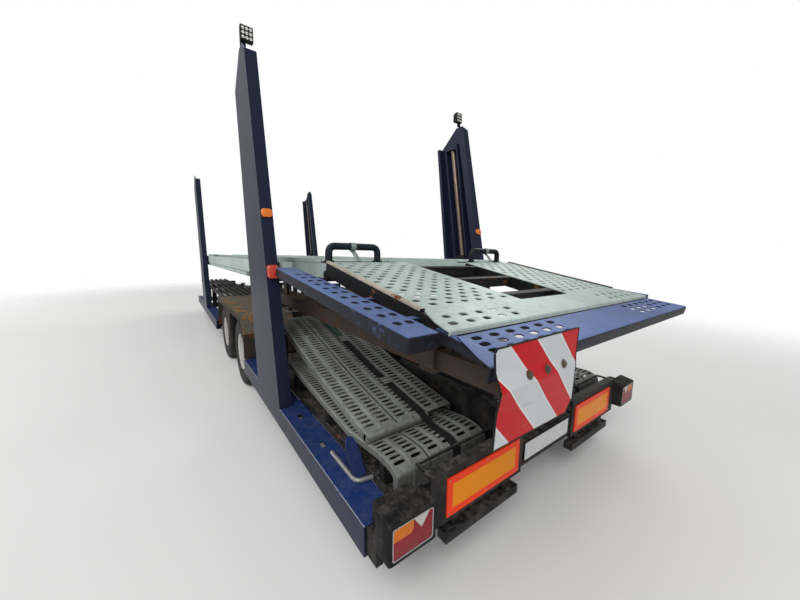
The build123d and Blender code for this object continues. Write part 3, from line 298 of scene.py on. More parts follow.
# base colour, scuffed colour, rust, dust, dirt, roughness, then metallic and drift where they differ
STEELS = {
    "frame_black": ((0.012, 0.012, 0.013), (0.085, 0.080, 0.074), 0.42, 0.50, 0.40, 0.50),
    "rail_blue": ((0.009, 0.030, 0.135), (0.060, 0.10, 0.24), 0.12, 0.14, 0.12, 0.36),
    "deck_blue": ((0.100, 0.160, 0.365), (0.32, 0.41, 0.60), 0.20, 0.14, 0.0, 0.42),
    "galvanised": ((0.49, 0.59, 0.55), (0.68, 0.75, 0.71), 0.14, 0.22, 0.3, 0.45, 0.25, 0.16),
    "ramp_grey": ((0.265, 0.280, 0.258), (0.46, 0.47, 0.44), 0.26, 0.22, 0.3, 0.55, 0.2, 0.42),
    "rusty_brown": ((0.088, 0.060, 0.044), (0.18, 0.14, 0.11), 0.62, 0.30, 0.3, 0.66),
    "guard_olive": ((0.105, 0.095, 0.070), (0.25, 0.22, 0.165), 0.80, 0.25, 0.3, 0.62),
    "hydraulic_black": ((0.022, 0.022, 0.024), (0.14, 0.14, 0.14), 0.1, 0.3, 0.2, 0.25, 0.5),
    "spindle_steel": ((0.20, 0.15, 0.12), (0.42, 0.40, 0.36), 0.4, 0.2, 0.3, 0.35, 0.6),
    "rim_white": ((0.58, 0.57, 0.54), (0.74, 0.73, 0.70), 0.2, 0.4, 0.55, 0.42, 0.0, 0.08),
    "lamp_black": ((0.010, 0.010, 0.011), (0.05, 0.05, 0.05), 0.0, 0.25, 0.25, 0.6),
    "work_lamp": ((0.014, 0.014, 0.015), (0.07, 0.07, 0.07), 0.05, 0.3, 0.1, 0.5),
    "plate_white": ((0.66, 0.67, 0.68), (0.5, 0.5, 0.5), 0.0, 0.2, 0.25, 0.35, 0.0, 0.05),
    "stop_tube": ((0.016, 0.022, 0.028), (0.07, 0.075, 0.08), 0.35, 0.25, 0.1, 0.4),
    "bare_steel": ((0.30, 0.30, 0.29), (0.55, 0.55, 0.53), 0.3, 0.2, 0.2, 0.4, 0.6, 0.2),
    "rusty_bolt": ((0.17, 0.14, 0.11), (0.40, 0.38, 0.34), 0.62, 0.2, 0.3, 0.5, 0.5, 0.3),
    "pale_rim": ((0.40, 0.42, 0.42), (0.6, 0.6, 0.6), 0.0, 0.2, 0.2, 0.35, 0.2, 0.1),
    "worn_cream": ((0.468, 0.429, 0.351), (0.50, 0.48, 0.42), 0.55, 0.2, 0.0, 0.6, 0.0, 0.3),
    "lamp_cell": ((0.62, 0.62, 0.58), (0.75, 0.75, 0.7), 0.0, 0.2, 0.1, 0.2, 0.0, 0.05),
}
# how much painted shade each finish gets on faces that do not look up, and where the rails' tops are bare
EXTRAS = {
    "rail_blue": {"painted_shade": 0.8, "bright_edge": 1.266},
    "deck_blue": {"painted_shade": 0.98},
    "ramp_grey": {"painted_shade": 0.45},
    "rusty_brown": {"painted_shade": 0.45},
    "guard_olive": {"painted_shade": 0.75, "rust_colour": (0.27, 0.125, 0.035)},
}
finishes = {name: worn_steel(name, *row, **EXTRAS.get(name, {})) for name, row in STEELS.items()}
print("finishes", len(finishes))

# %% [markdown]
# ## Rubber, webbing, signs and lenses
# These aren't worn steel. The signs are colours in fields, and a field's edge is a place on the
# trailer, so a mask is made from y and z themselves. The stripes run at 45 degrees.

# %% Rubber and webbing
def rubber(name, base=(0.022, 0.022, 0.023), dust=0.6):
    """Black rubber, grey where it has rolled in dust."""
    f = Finish(name, 0.75)
    cloud = f.noise(6, 5, 0.6)
    speck = f.noise(160, 3, 0.7)
    veil = (cloud.rise(0.35, 0.75) * dust * 0.55 + speck.rise(0.62, 0.75) * 0.15).least(0.8)
    f.colour(veil.between(base, (0.15, 0.135, 0.12)))
    f.rough(veil * 0.25 + 0.66)
    f.relief(speck, 0.25, 0.001)
    return f.material


def webbing(name, dark, pale):
    """Woven strap: a fine diagonal weave, and cloudy wear between two colours."""
    f = Finish(name, 0.85)
    weave = f.bare.node("ShaderNodeTexWave", {"bands_direction": "DIAGONAL"}, {
        "Vector": f.place, "Scale": 90.0, "Distortion": 0.4})
    worn = f.noise(14, 4)
    f.colour((worn * 0.7 + weave * 0.3).between(dark, pale))
    f.relief(weave + f.noise(300, 2) * 0.3, 0.4, 0.0008)
    return f.material


finishes["tyre_rubber"] = rubber("tyre_rubber")
finishes["rubber"] = rubber("rubber", (0.018, 0.018, 0.018), 0.8)
finishes["strap_web"] = webbing("strap_web", (0.009, 0.009, 0.010), (0.032, 0.034, 0.034))
finishes["green_web"] = webbing("green_web", (0.035, 0.085, 0.070), (0.11, 0.20, 0.17))
finishes["faded_web"] = webbing("faded_web", (0.20, 0.25, 0.23), (0.34, 0.40, 0.38))


# %% Signs and lamps
def grimed(f, skin, amount, scratches):
    """A sign's colours under road dirt: streaks that run down, and fine scratches."""
    streaks = f.noise(26, 5, 0.6, (1, 1, 0.12), 2.0).rise(0.52, 0.8)
    cloud = f.noise(4, 4, 0.6, shift=5.0).rise(0.4, 0.75)
    dirt = ((streaks * 0.6 + cloud * 0.5) * amount).least(0.8)
    marks = f.noise(60, 2, 0.5, (1, 0.06, 1), 8.0).rise(0.68, 0.72) * scratches
    skin = dirt.between(skin, (0.17, 0.15, 0.13))
    f.colour(marks.between(skin, (0.30, 0.28, 0.26)))
    f.rough(dirt * 0.5 + marks * 0.2 + 0.28)


STRIPES = (0.066, 0.2823)           # where the first stripe starts in z - y, and a pair's pitch


def striped():
    """Red and white stripes at 45 degrees, a pale line at each change, and fine cells in the sheet.

    The stripe a point is in is (z - y + start) / pitch, and its place in it is what is left over."""
    f = Finish("stripe_panel", 0.3, Specular_IOR_Level=0.08)
    turn = (f.z - f.y + STRIPES[0]) / STRIPES[1] + 8.0
    phase = turn - turn.sum("FLOOR", turn)
    red = phase.rise(0.006, 0.014) * phase.rise(0.494, 0.486)
    seam = phase.band(0.494, 0.512, 0.004).most(phase.rise(0.986, 0.990))
    tile = f.cells(420)
    skin = (red * (1 - seam)).between((0.60, 0.62, 0.64), (0.55, 0.003, 0.007))
    skin = (seam * 0.7).between(skin, (0.85, 0.85, 0.85))
    grimed(f, (tile * 0.015).between(skin, (0.9, 0.88, 0.88)), 0.12, 0.35)
    return f.material


MARKER = (0.336, 0.901, 0.364, 0.559)           # inner, outer, lower and upper edge of a plate
BORDER = 0.036


def marker_plate():
    """Orange field in a red-orange border, both reflective: a fine honeycomb shows in the sheet."""
    f = Finish("marker_orange", 0.28, Specular_IOR_Level=0.08)
    near, far, low, high = MARKER
    inside = f.y.size().band(near + BORDER, far - BORDER, 0.0012)
    inside = inside * f.z.band(low + BORDER, high - BORDER, 0.0012)
    honey = f.cells(360, "DISTANCE_TO_EDGE").rise(0.0, 0.08)
    skin = inside.between((0.98, 0.055, 0.012), (0.90, 0.290, 0.003))
    grimed(f, (honey * 0.25 + 0.75).between((0.3, 0.05, 0.01), skin), 0.12, 0.4)
    return f.material


WEDGE_POINT = (1.098, 0.472)        # distance from the middle and height of the wedge's lower point


def ribbed_lens():
    """Ribbed lens: dark red, an amber block in the upper outer corner, and beside it a white wedge."""
    f = Finish("lens_red", 0.16, 0.0, Coat_Weight=0.12)
    side = f.y.size()
    off_point = (side - WEDGE_POINT[0]).size()
    wedge = (f.z - WEDGE_POINT[1] - off_point * 1.35).rise(0.0, 0.002) * side.rise(1.137, 1.135)
    amber = side.rise(1.140, 1.142) * f.z.rise(0.474, 0.476) * (side + f.z - 1.628).rise(0.0, 0.002)
    red = wedge.between((0.27, 0.004, 0.012), (0.60, 0.58, 0.56))
    skin = amber.between(red, (0.66, 0.17, 0.008))
    ribs = f.bare.node("ShaderNodeTexWave", {"bands_direction": "Y"}, {"Vector": f.place, "Scale": 55.0})
    grime = f.noise(20, 4).rise(0.5, 0.8) * 0.15
    f.colour(grime.between(skin, (0.16, 0.13, 0.11)))
    f.rough(grime * 0.6 + 0.12)
    f.relief(ribs, 0.5, 0.002)
    return f.material


def small_lens():
    """The post lamps: the low one red, the high one orange."""
    f = Finish("marker_lens", 0.2, 0.0, Coat_Weight=0.5)
    skin = f.z.rise(1.6, 1.7).between((0.55, 0.045, 0.025), (0.80, 0.20, 0.020))
    grime = f.noise(30, 4).rise(0.5, 0.85) * 0.4
    f.colour(grime.between(skin, (0.2, 0.17, 0.14)))
    f.rough(grime * 0.5 + 0.2)
    f.relief(f.noise(90, 2), 0.2, 0.001)
    return f.material


finishes["stripe_panel"] = striped()
finishes["marker_orange"] = marker_plate()
finishes["lens_red"] = ribbed_lens()
finishes["marker_lens"] = small_lens()
print("finishes", len(finishes))

# %% [markdown]
# ## From arrays to pieces
# A new piece is made of patches. A patch is an array of points and a list of faces that index
# them, worked out with numpy. The patches of a piece are put end to end, and doubles are merged
# so that its seams are closed.

# %% Patches and pieces
def grid(points, ring=False, loop=False, flip=False):
    """Quads over points[i, j]. ring closes the second index on itself, and loop the first."""
    rows, columns = points.shape[:2]
    i, j = np.meshgrid(np.arange(rows - (not loop)), np.arange(columns - (not ring)), indexing="ij")
    a = i * columns + j
    b = i * columns + (j + 1) % columns
    c = (i + 1) % rows * columns + (j + 1) % columns
    d = (i + 1) % rows * columns + j
    quads = np.stack([a, d, c, b] if flip else [a, b, c, d], -1).reshape(-1, 4)
    return points.reshape(-1, 3), quads.tolist()


def lid(ring, flip=False):
    """One face over a closed ring of points."""
    order = list(range(len(ring)))
    return np.asarray(ring, float), [order[::-1] if flip else order]


def joined(patches):
    """Patches put end to end, the faces of each counted on from the last."""
    points, faces, start = [], [], 0
    for some, its_faces in patches:
        points.append(np.asarray(some, float).reshape(-1, 3))
        faces += [[k + start for k in face] for face in its_faces]
        start += len(points[-1])
    return np.concatenate(points), faces


def outward(patches):
    """One patch of a closed form, its faces turned to look outwards: its volume is then above zero."""
    points, faces = joined(patches)
    three = points[np.array([(face[0], a, b) for face in faces for a, b in zip(face[1:], face[2:])])]
    volume = np.einsum("ij,ij->", three[:, 0], np.cross(three[:, 1], three[:, 2]))
    return points, faces if volume > 0 else [face[::-1] for face in faces]


def capped(rings):
    """A closed form of rings of points, one after the other, with a lid on the first and the last."""
    return outward([grid(np.asarray(rings), ring=True), lid(rings[0], flip=True), lid(rings[-1])])


def unit(vectors):
    """The vectors, each brought to length one."""
    return vectors / np.linalg.norm(vectors, axis=-1, keepdims=True)


def spread(x, y, z):
    """Points of these x, y and z, each of them a number or an array."""
    return np.stack(np.broadcast_arrays(x, y, z), -1)


def from_stations(line):
    """A line of (station, z) as a line of (x, z)."""
    return [(s - MID, z) for s, z in line]


def box_of(u, v):
    """The four corners of a rectangle between two u and two v."""
    return [(u[0], v[0]), (u[1], v[0]), (u[1], v[1]), (u[0], v[1])]


def piece(name, patches, finish, body="root", replaces=(), bevel=0.0, smooth=0.6):
    """A mesh object of these patches, shaded smooth where its faces meet at under the given angle."""
    points, faces = joined(patches)
    _, first, back = np.unique(np.round(points, 5), axis=0, return_index=True, return_inverse=True)
    back = back.reshape(-1)
    kept = []
    for face in faces:
        corners = [int(back[k]) for k in face]
        corners = [c for k, c in enumerate(corners) if c != corners[k - 1]]
        if len(corners) > 2:
            kept.append(corners)
    mesh = bpy.data.meshes.new(name)
    mesh.from_pydata(points[first].tolist(), [], kept)
    mesh.polygons.foreach_set("use_smooth", [True] * len(mesh.polygons))
    mesh.set_sharp_from_angle(angle=smooth)
    mesh.materials.append(finishes[finish])
    made = bpy.data.objects.new(name, mesh)
    bpy.context.scene.collection.objects.link(made)
    if bevel:
        edge = made.modifiers.new("edges", "BEVEL")
        edge.width = bevel
        edge.segments = 2
        edge.limit_method = "ANGLE"
        edge.angle_limit = 0.7
    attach(made, body)
    if replaces:
        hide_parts(*replaces)
    print(name, len(kept), "faces")
    return made


def carried(profile, path, across, up):
    """Points of a profile (a, b) carried along a path: path point + a * across + b * up at each."""
    profile, path = np.asarray(profile, float), np.asarray(path, float)
    across, up = (np.broadcast_to(np.asarray(v, float), path.shape) for v in (across, up))
    return path[:, None] + profile[None, :, :1] * across[:, None] + profile[None, :, 1:] * up[:, None]


def tube(path, radius, sides=16, lids=True):
    """A round tube: a circle carried along a path, square to it at each point."""
    path = np.asarray(path, float)
    ahead = unit(np.gradient(path, axis=0))
    guide = np.eye(3)[abs(ahead).max(axis=0).argmin()]
    across = unit(np.cross(ahead, guide))
    up = np.cross(ahead, across)
    angle = np.linspace(0, 2 * pi, sides, endpoint=False)
    radius = np.broadcast_to(np.asarray(radius, float), len(path))
    points = path[:, None] + radius[:, None, None] * (
        np.cos(angle)[None, :, None] * across[:, None] + np.sin(angle)[None, :, None] * up[:, None])
    return [capped(points) if lids else outward([grid(points, ring=True)])]


def along(line):
    """Lays (u, v, w) along a line of (station, z): u is the distance gone, v is y, w is square to it."""
    path = rounded([(x, 0.0, z) for x, z in from_stations(line)], 0.03)[:, ::2]
    gone = np.concatenate([[0.0], np.cumsum(np.linalg.norm(np.diff(path, axis=0), axis=1))])
    ahead = unit(np.gradient(path, gone, axis=0))

    def place(u, v, w):
        """A point at the distance u gone, at y = v, and w out from the line."""
        x, z, ax, az = (np.interp(u, gone, values) for values in (*path.T, *ahead.T))
        return spread(x - w * az, v, z + w * ax)
    place.length = gone[-1]
    place.steps = gone
    return place


def line_on(place, steps, y, way=1.0):
    """The line at y on a surface, and the direction square to it: outwards, or inwards with way -1."""
    path = place(steps, y, 0.0)
    return path, place(steps, y, way) - path


def rounded(points, radius, steps=6):
    """A broken line with its corners rounded: near each corner, a curve from one leg to the next."""
    points = np.asarray(points, float)
    line = [points[0]]
    for before, corner, after in zip(points, points[1:], points[2:]):
        legs = [(leg, np.linalg.norm(leg)) for leg in (before - corner, after - corner)]
        reach = min(radius, *(0.45 * length for _, length in legs))
        start, end = (corner + leg / length * reach for leg, length in legs)
        t = np.linspace(0, 1, steps)[:, None]
        line += list((1 - t) ** 2 * start + 2 * t * (1 - t) * corner + t ** 2 * end)
    line.append(points[-1])
    return np.array(line)


def lathe(profile, centre, sides=48):
    """A closed profile of (y, radius) turned about a cross axle at centre, a point of the axle."""
    profile = np.asarray(profile, float)
    angle = np.linspace(0, 2 * pi, sides, endpoint=False)
    y, radius = profile[:, :1], profile[:, 1:]
    points = centre + spread(radius * np.cos(angle), y, radius * np.sin(angle))
    return outward([grid(points, ring=True, loop=True, flip=True)])


def bar(low, high):
    """A rectangular bar between two corners."""
    low, high = np.minimum(low, high), np.maximum(low, high)
    x, y, z = zip(low, high)
    return [capped([[(end, *corner) for corner in box_of(y, z)] for end in x])]


def drawn(outline, place, start, end):
    """A prism: an outline of (u, v) laid by place(u, v, w) and drawn out from w = start to w = end."""
    u, v = np.asarray(outline, float).T
    return [capped([place(u, v, np.full_like(u, w)) for w in (start, end)])]


def round_corners(low, high, bottom, top, radius):
    """A rectangle's outline of (u, v) with rounded corners, in quarter turns from the one at high, top."""
    middles = ((high - radius, top - radius), (low + radius, top - radius),
               (low + radius, bottom + radius), (high - radius, bottom + radius))
    return np.array([(u + radius * cos(t + k * pi / 2), v + radius * sin(t + k * pi / 2))
                     for k, (u, v) in enumerate(middles) for t in np.linspace(0, pi / 2, 5)])


def folded(path, out, down, depth, radius=0.009, thick=0.006):
    """A plate's edge bent down: a quarter round, then a flange, carried along the path of the edge."""
    angle = np.linspace(0, pi / 2, 5)
    profile = [(radius * sin(t), radius - radius * cos(t)) for t in angle] + [(radius, depth)]
    inner = radius - thick
    profile += [(inner, depth)] + [(inner * sin(t), radius - inner * cos(t)) for t in angle[::-1]]
    return [capped(carried(profile, path, out, down))]


# %% [markdown]
# ## Pierced plate
# The tracks are sheet steel with rows of pressed openings. Cutting hundreds of holes with a
# Boolean is slow and leaves long thin faces. Instead, one opening and the patch of plate round it
# is a small set of rings, and all the openings are copies of it, made as one array. Where a row
# has no opening, a plain patch fills it. The result is laid on any surface by a function.

# %% One opening, many times
def square_ring(half_u, half_v, corners=16):
    """Points round a rectangle, its corners among them, as many to each side."""
    t = np.linspace(-1, 1, corners // 4 + 1)[:-1]
    one = np.ones(corners // 4)
    u = np.concatenate([one, -t, -one, t])
    v = np.concatenate([t, one, -t, -one])
    return u * half_u, v * half_v


POWER = 3.4             # of the curve round an opening: 2 is an ellipse, and more is squarer


def oval_ring(half_u, half_v, corners=16):
    """A rounded rectangle, |u/a|^p + |v/b|^p = 1, in the directions of square_ring."""
    u, v = square_ring(1, 1, corners)
    length = (abs(u) ** POWER + abs(v) ** POWER) ** (1 / POWER)
    return u / length * half_u, v / length * half_v


def openings(centres, cell, hole, place, lip=0.006, press=0.0015, thick=0.006, corners=16):
    """Plate cells with an opening each, centres of (u, v), half sizes of cell and hole."""
    centres = np.asarray(centres, float)
    brim = [half + lip if half + lip < room else (half + room) / 2 for half, room in zip(hole, cell)]
    rings = ((square_ring(*cell, corners), 0), (oval_ring(*brim, corners), 0),
             (oval_ring(*hole, corners), -press), (oval_ring(*hole, corners), -thick),
             (square_ring(*cell, corners), -thick))
    u = np.stack([centres[:, :1] + ring[0] for ring, _ in rings], 1)
    v = np.stack([centres[:, 1:] + ring[1] for ring, _ in rings], 1)
    w = np.broadcast_to(np.array([height for _, height in rings])[None, :, None], u.shape)
    points = place(u, v, w)
    count, rows = points.shape[:2]
    block = np.array(grid(np.zeros((rows, corners, 3)), ring=True)[1])
    quads = (block[None] + np.arange(count)[:, None, None] * rows * corners).reshape(-1, 4)
    if not handed(place):
        quads = quads[:, ::-1]
    return points.reshape(-1, 3), quads.tolist()


def handed(place):
    """Whether place(u, v, w) turns the same way as x, y, z."""
    zero = place(*np.zeros((3, 1)))
    return np.linalg.det(place(*(np.eye(3) * 0.01)) - zero) > 0


def faces_of(quads, place, thick):
    """Both faces of a plate over quads of (u, v) corners."""
    quads = np.asarray(quads, float)
    u, v = quads[..., 0], quads[..., 1]
    turned = np.sum(u * np.roll(v, -1, 1) - v * np.roll(u, -1, 1), axis=1) < 0
    quads[turned] = quads[turned, ::-1]
    order = np.arange(quads.shape[0] * 4).reshape(-1, 4)
    patches, same = [], handed(place)
    for w, flip in ((0.0, not same), (-thick, same)):
        points = place(quads[..., 0], quads[..., 1], np.full(quads.shape[:2], w))
        patches.append((points.reshape(-1, 3), (order[:, ::-1] if flip else order).tolist()))
    return patches


def rim_wall(outline, place, thick=0.006):
    """The cut edge of a plate along its closed outline of (u, v), from its face to its back."""
    u, v = np.asarray(outline, float).T
    area = np.sum(u * np.roll(v, -1) - v * np.roll(u, -1))
    rings = np.stack([place(u, v, np.zeros_like(u)), place(u, v, np.full_like(u, -thick))])
    return grid(rings, ring=True, flip=(area > 0) == handed(place))


def pierced(rows, edges, half, hole, place, thick=0.006, press=0.0015, corners=16):
    """A plate in strips of (start, end, middles of its openings). edges(u) gives its two sides."""
    quads, centres, sides = [], [], []
    for start, end, middles in rows:
        (low, low_end), (high, high_end) = zip(edges(start), edges(end))
        cuts = [(low, low_end)]
        for middle in sorted(middles):
            cuts += [(middle - half, middle - half), (middle + half, middle + half)]
            centres.append(((start + end) / 2, middle))
        cuts.append((high, high_end))
        quads += [[(start, a[0]), (end, a[1]), (end, b[1]), (start, b[0])]
                  for a, b in zip(cuts[::2], cuts[1::2]) if b[0] - a[0] + b[1] - a[1] > 0.001]
        sides += [(start, low, high), (end, low_end, high_end)]
    outline = [(u, low) for u, low, _ in sides] + [(u, high) for u, _, high in reversed(sides)]
    patches = faces_of(quads, place, thick) + [rim_wall(outline, place, thick)]
    if centres:
        depth = next(abs(end - start) for start, end, middles in rows if len(middles)) / 2
        patches.append(openings(centres, (depth, half), hole, place, 0.006, press, thick, corners))
    return patches


print("one opening has", 16 * 4, "faces")

# %% [markdown]
# ## The tail
# The tail slopes down from the end of the deck at an angle whose tangent is 0.186. Its two
# galvanised tracks have sixteen rows of openings, every second row shifted by half a pitch.
# Distances along the slope are counted forward from the kink, so the tail has negative ones.

# %% The tail's slope
TAIL = atan(0.186)
DECK_TOP = 1.515
KINK = (1.075 - MID, DECK_TOP)
OUTER, FRONT_EDGE, TRACK_END, TAIL_END = 0.985, -0.012, -0.999, -1.209
ALONG = np.array([cos(TAIL), 0.0, sin(TAIL)])
SQUARE = np.array([-sin(TAIL), 0.0, cos(TAIL)])


def on_tail(u, y, w):
    """A point u along the slope from the kink, at y, and w proud of the plates."""
    return spread(KINK[0] + u * cos(TAIL) - w * sin(TAIL), y, KINK[1] + u * sin(TAIL) + w * cos(TAIL))


def mirrored(place, side):
    """The same place for the left side, and mirrored for the right."""
    return lambda u, y, w: place(u, side * y, w)


def steps_down(first, last, pitch):
    """Middles of openings from first inwards, as far as last."""
    return np.arange(first, last, -pitch)


# %% Tail tracks
ROW, COLUMN = 0.0578, 0.1075
TAIL_HOLE = (0.0165, 0.024)
FIRST_ROW = -0.060


def track_edges(u):
    """Inner and outer edge of a track at u: the tracks grow wider towards the rear."""
    return 0.345 - 0.085 * (FRONT_EDGE - u) / (FRONT_EDGE - TAIL_END), OUTER


rows = [(FRONT_EDGE, FIRST_ROW + ROW / 2, [])]
for k in range(16):
    u = FIRST_ROW - ROW * k
    first, last = OUTER - COLUMN * (1 + k % 2) / 2, track_edges(u)[0] + COLUMN / 2 + 0.006
    rows.append((u + ROW / 2, u - ROW / 2, steps_down(first, last, COLUMN)))
rows.append((rows[-1][1], TRACK_END, []))
patches = []
for _, side in SIDES:
    patches += pierced(rows, track_edges, COLUMN / 2, TAIL_HOLE, mirrored(on_tail, side))
piece("tail_tracks_pressed", patches, "galvanised", "tail", replaces=["tail_tracks"])

# %% [markdown]
# Behind the tracks lies one plate across, with chamfered front corners and its rear edge bent
# down. A bent edge is a quarter round and a flange, carried along the edge.

# %% Plate across the tail's end
CROSS_HALF = 1.050


def cross_edges(u):
    """Right and left edge at u: the front corners are cut off at a slant."""
    half = CROSS_HALF - 0.060 * max(0.0, (u - TAIL_END - 0.060) / 0.150)
    return -half, half


def both(middles):
    """The middles given for the left side, and the same for the right."""
    return np.concatenate([middles, -np.asarray(middles)])


fifth = 0.105 * np.arange(5)
rows = [(TRACK_END, -1.0451, []), (-1.0451, -1.1153, both(0.940 - fifth)),
        (-1.1153, -1.1855, both(0.970 - fifth)), (-1.1855, TAIL_END + 0.003, [])]
patches = pierced(rows, cross_edges, 0.0525, TAIL_HOLE, on_tail)
edge = on_tail(np.full(2, TAIL_END + 0.003), np.array([-CROSS_HALF, CROSS_HALF]), 0.0)
patches += folded(edge, -ALONG, -SQUARE, 0.019)
piece("tail_cross_plate_pressed", patches, "galvanised", "tail", replaces=["tail_cross_plate"])

# %% [markdown]
# The blue plate hangs 14 mm lower on two bars of its own. It flares a little, and its rear edge
# is bent down 55 mm, which is the long dark line seen from behind.

# %% Blue rear plate
BLUE_DROP, BLUE_FRONT, BLUE_END, BLUE_HALF = 0.014, -1.235, -1.4379, 1.105
BLUE_FIRST, BLUE_ROW = -1.2459, 0.0481


def on_blue(u, y, w):
    """As on_tail, from the lower level of the blue plate."""
    return on_tail(u, y, w - BLUE_DROP)


def blue_edges(u):
    """Right and left edge at u: the plate flares towards the rear."""
    half = BLUE_HALF - 0.075 * max(0.0, (u - BLUE_END - 0.02) / (BLUE_FRONT - BLUE_END - 0.02))
    return -half, half


sixth = 0.104 * np.arange(6)
ends = [BLUE_FRONT] + [BLUE_FIRST - BLUE_ROW * k for k in range(4)] + [BLUE_END]
spots = [[]] + [both(y - sixth) for y in (0.966, 0.976, 0.986)] + [[]]
rows = list(zip(ends, ends[1:], spots))
patches = pierced(rows, blue_edges, 0.052, (0.0145, 0.025), on_blue)
edge = on_blue(np.full(2, BLUE_END), np.array([-BLUE_HALF, BLUE_HALF]), 0.0)
patches += folded(edge, -ALONG, -SQUARE, 0.055)
for _, side in SIDES:
    patches += drawn(box_of((TAIL_END + 0.075, TAIL_END - 0.170), (side * 1.012, side * 1.045)),
                     on_blue, -0.046, -0.0062)
piece("tail_rear_plate_pressed", patches, "deck_blue", "tail", replaces=["tail_rear_plate"])

# %% [markdown]
# Each outer beam of the tail stands 8 mm above the tracks. Its edge is rubbed bare to an old
# cream paint by the tyres of what drives over it, so a thin strip lies along the edge.

# %% Worn edges of the tail's beams
patches = []
for _, side in SIDES:
    patches += drawn(box_of((FRONT_EDGE - 0.001, TRACK_END + 0.005), (side * 0.9855, side * 1.0125)),
                     on_tail, -0.004, 0.0092)
piece("tail_beam_edges", patches, "worn_cream", "tail", bevel=0.0015)

# %% [markdown]
# The walkways beside the tail slope less than its tracks: their tangent is 0.109. Each is a
# channel with its flanges down, eleven pairs of openings, and a closed rear end. The bend runs
# round the rear corners in one piece: there the direction of the flange turns in steps while
# the point stays, which makes a round corner.

# %% Side walkways
WALK = atan(0.174 / 1.59)
WALK_LENGTH = 1.59 / cos(WALK)
WALK_REAR = (-0.090 - MID, 1.288)
WALK_INNER, WALK_OUTER, BEND = 1.070, 1.218, 0.009
WALK_FIRST, WALK_PITCH = 0.090, 0.114           # where the openings' strips begin, and their length
walk_ahead, walk_up = np.array([cos(WALK), 0, sin(WALK)]), np.array([-sin(WALK), 0, cos(WALK)])


def on_walk(u, y, w):
    """A point u along the walkway from its rear end."""
    return spread(WALK_REAR[0] + u * cos(WALK) - w * sin(WALK), y,
                  WALK_REAR[1] + u * sin(WALK) + w * cos(WALK))


ends = [WALK_FIRST + WALK_PITCH * k for k in range(12)]
rows = [(BEND, WALK_FIRST, [])]
rows += [(start, end, (1.1005, 1.1585)) for start, end in zip(ends, ends[1:])]
rows.append((ends[-1], WALK_LENGTH, []))
turns = np.linspace(0, pi / 2, 5)
angles = [0, *turns, *turns[::-1], 0]
patches = []
for _, side in SIDES:
    patches += pierced(rows, lambda u: (WALK_INNER + BEND, WALK_OUTER - BEND), 0.0290, (0.021, 0.0175),
                       mirrored(on_walk, side))
    inner, outer = side * (WALK_INNER + BEND), side * (WALK_OUTER - BEND)
    path = on_walk(np.array([WALK_LENGTH] + [BEND] * 10 + [WALK_LENGTH]),
                   np.array([inner] * 6 + [outer] * 6), 0.0)
    out = np.array([-sin(t) * walk_ahead + np.array([0, side * sign * cos(t), 0])
                    for t, sign in zip(angles, [-1] * 6 + [1] * 6)])
    patches += folded(path, out, -walk_up, 0.065, BEND)
    for s in (0.210, 0.570, 0.970):
        x, z = s - 0.090 - MID, WALK_REAR[1] + 0.10943 * s
        patches += bar((x - 0.025, side * 1.012, z - 0.045), (x + 0.025, side * 1.0705, z - 0.008))
piece("tail_walkways_pressed", patches, "deck_blue", "tail", replaces=["tail_walkways"])

# %% [markdown]
# ## The upper deck
# The same pressing repeats along the deck: over a hundred rows. It is seen from further away, so
# its openings have eight corners instead of sixteen, which halves the count. The lips along
# both edges are bars.

# %% Deck tracks
def on_deck(u, y, w):
    """A point u ahead of the rear plane on the deck."""
    return spread(u - MID, y, DECK_TOP + w)


DECK_START, DECK_END, DECK_INNER = 1.225, 8.800, 0.400
DECK_PLATE, LIP = 0.008, 0.020          # thickness of the plate and its lips, height of a lip
rows = []
u = DECK_START
while u + ROW < DECK_END - 0.02:
    first = OUTER - DECK_PLATE - COLUMN * (1 + len(rows) % 2) / 2
    rows.append((u, u + ROW, steps_down(first, DECK_INNER + DECK_PLATE + COLUMN / 2, COLUMN)))
    u += ROW
rows.append((u, DECK_END, []))
patches = []
for _, side in SIDES:
    patches += pierced(rows, lambda u: (DECK_INNER + DECK_PLATE, OUTER - DECK_PLATE), COLUMN / 2, TAIL_HOLE,
                       mirrored(on_deck, side), thick=DECK_PLATE, corners=8)
    for y in (DECK_INNER, OUTER - DECK_PLATE):
        patches += bar((DECK_START - MID, side * y, DECK_TOP - DECK_PLATE),
                       (DECK_END - MID, side * (y + DECK_PLATE), DECK_TOP + LIP))
piece("upper_tracks_pressed", patches, "galvanised", "upper_deck", replaces=["upper_tracks"])

# %% [markdown]
# Two bent tubes at the deck's end stop the wheels. They are round tubes on rusty feet, and a
# worn band of webbing is still wrapped round each.

# %% Wheel stops
patches, bands = [], []
for _, side in SIDES:
    x, near, far, top = 1.175 - MID, side * 0.545, side * 0.945, 1.623
    line = rounded([(x, near, 1.514), (x, near, top), (x, far, top), (x, far, 1.514)], 0.065, 8)
    patches += tube(line, 0.0255, 18)
    patches += bar((x - 0.045, side * DECK_INNER, DECK_TOP - DECK_PLATE), (x + 0.045, side * OUTER, DECK_TOP))
    for y in (near, far):
        patches += tube([(x, y, 1.5149), (x, y, 1.5230)], 0.0380, 12)
    middle = side * 0.760
    angle = np.linspace(-0.35, 2 * pi - 0.75, 22)
    wrap = [(x + 0.0275 * cos(t), middle, top + 0.0275 * sin(t)) for t in angle]
    wrap += [(x - 0.010 - 0.012 * k, middle - 0.006 * k, top - 0.032 - 0.018 * k) for k in range(1, 5)]
    out = np.cross([0.0, 1.0, 0.0], unit(np.gradient(np.array(wrap), axis=0)))
    bands.append(capped(carried(box_of((-0.020, 0.020), (0, 0.0022)), wrap, (0, 1, 0), out)))
piece("wheel_stop_tubes", patches, "stop_tube", "upper_deck",
      replaces=["wheel_stop_hoops"])
piece("wheel_stop_bands", bands, "faded_web", "upper_deck")

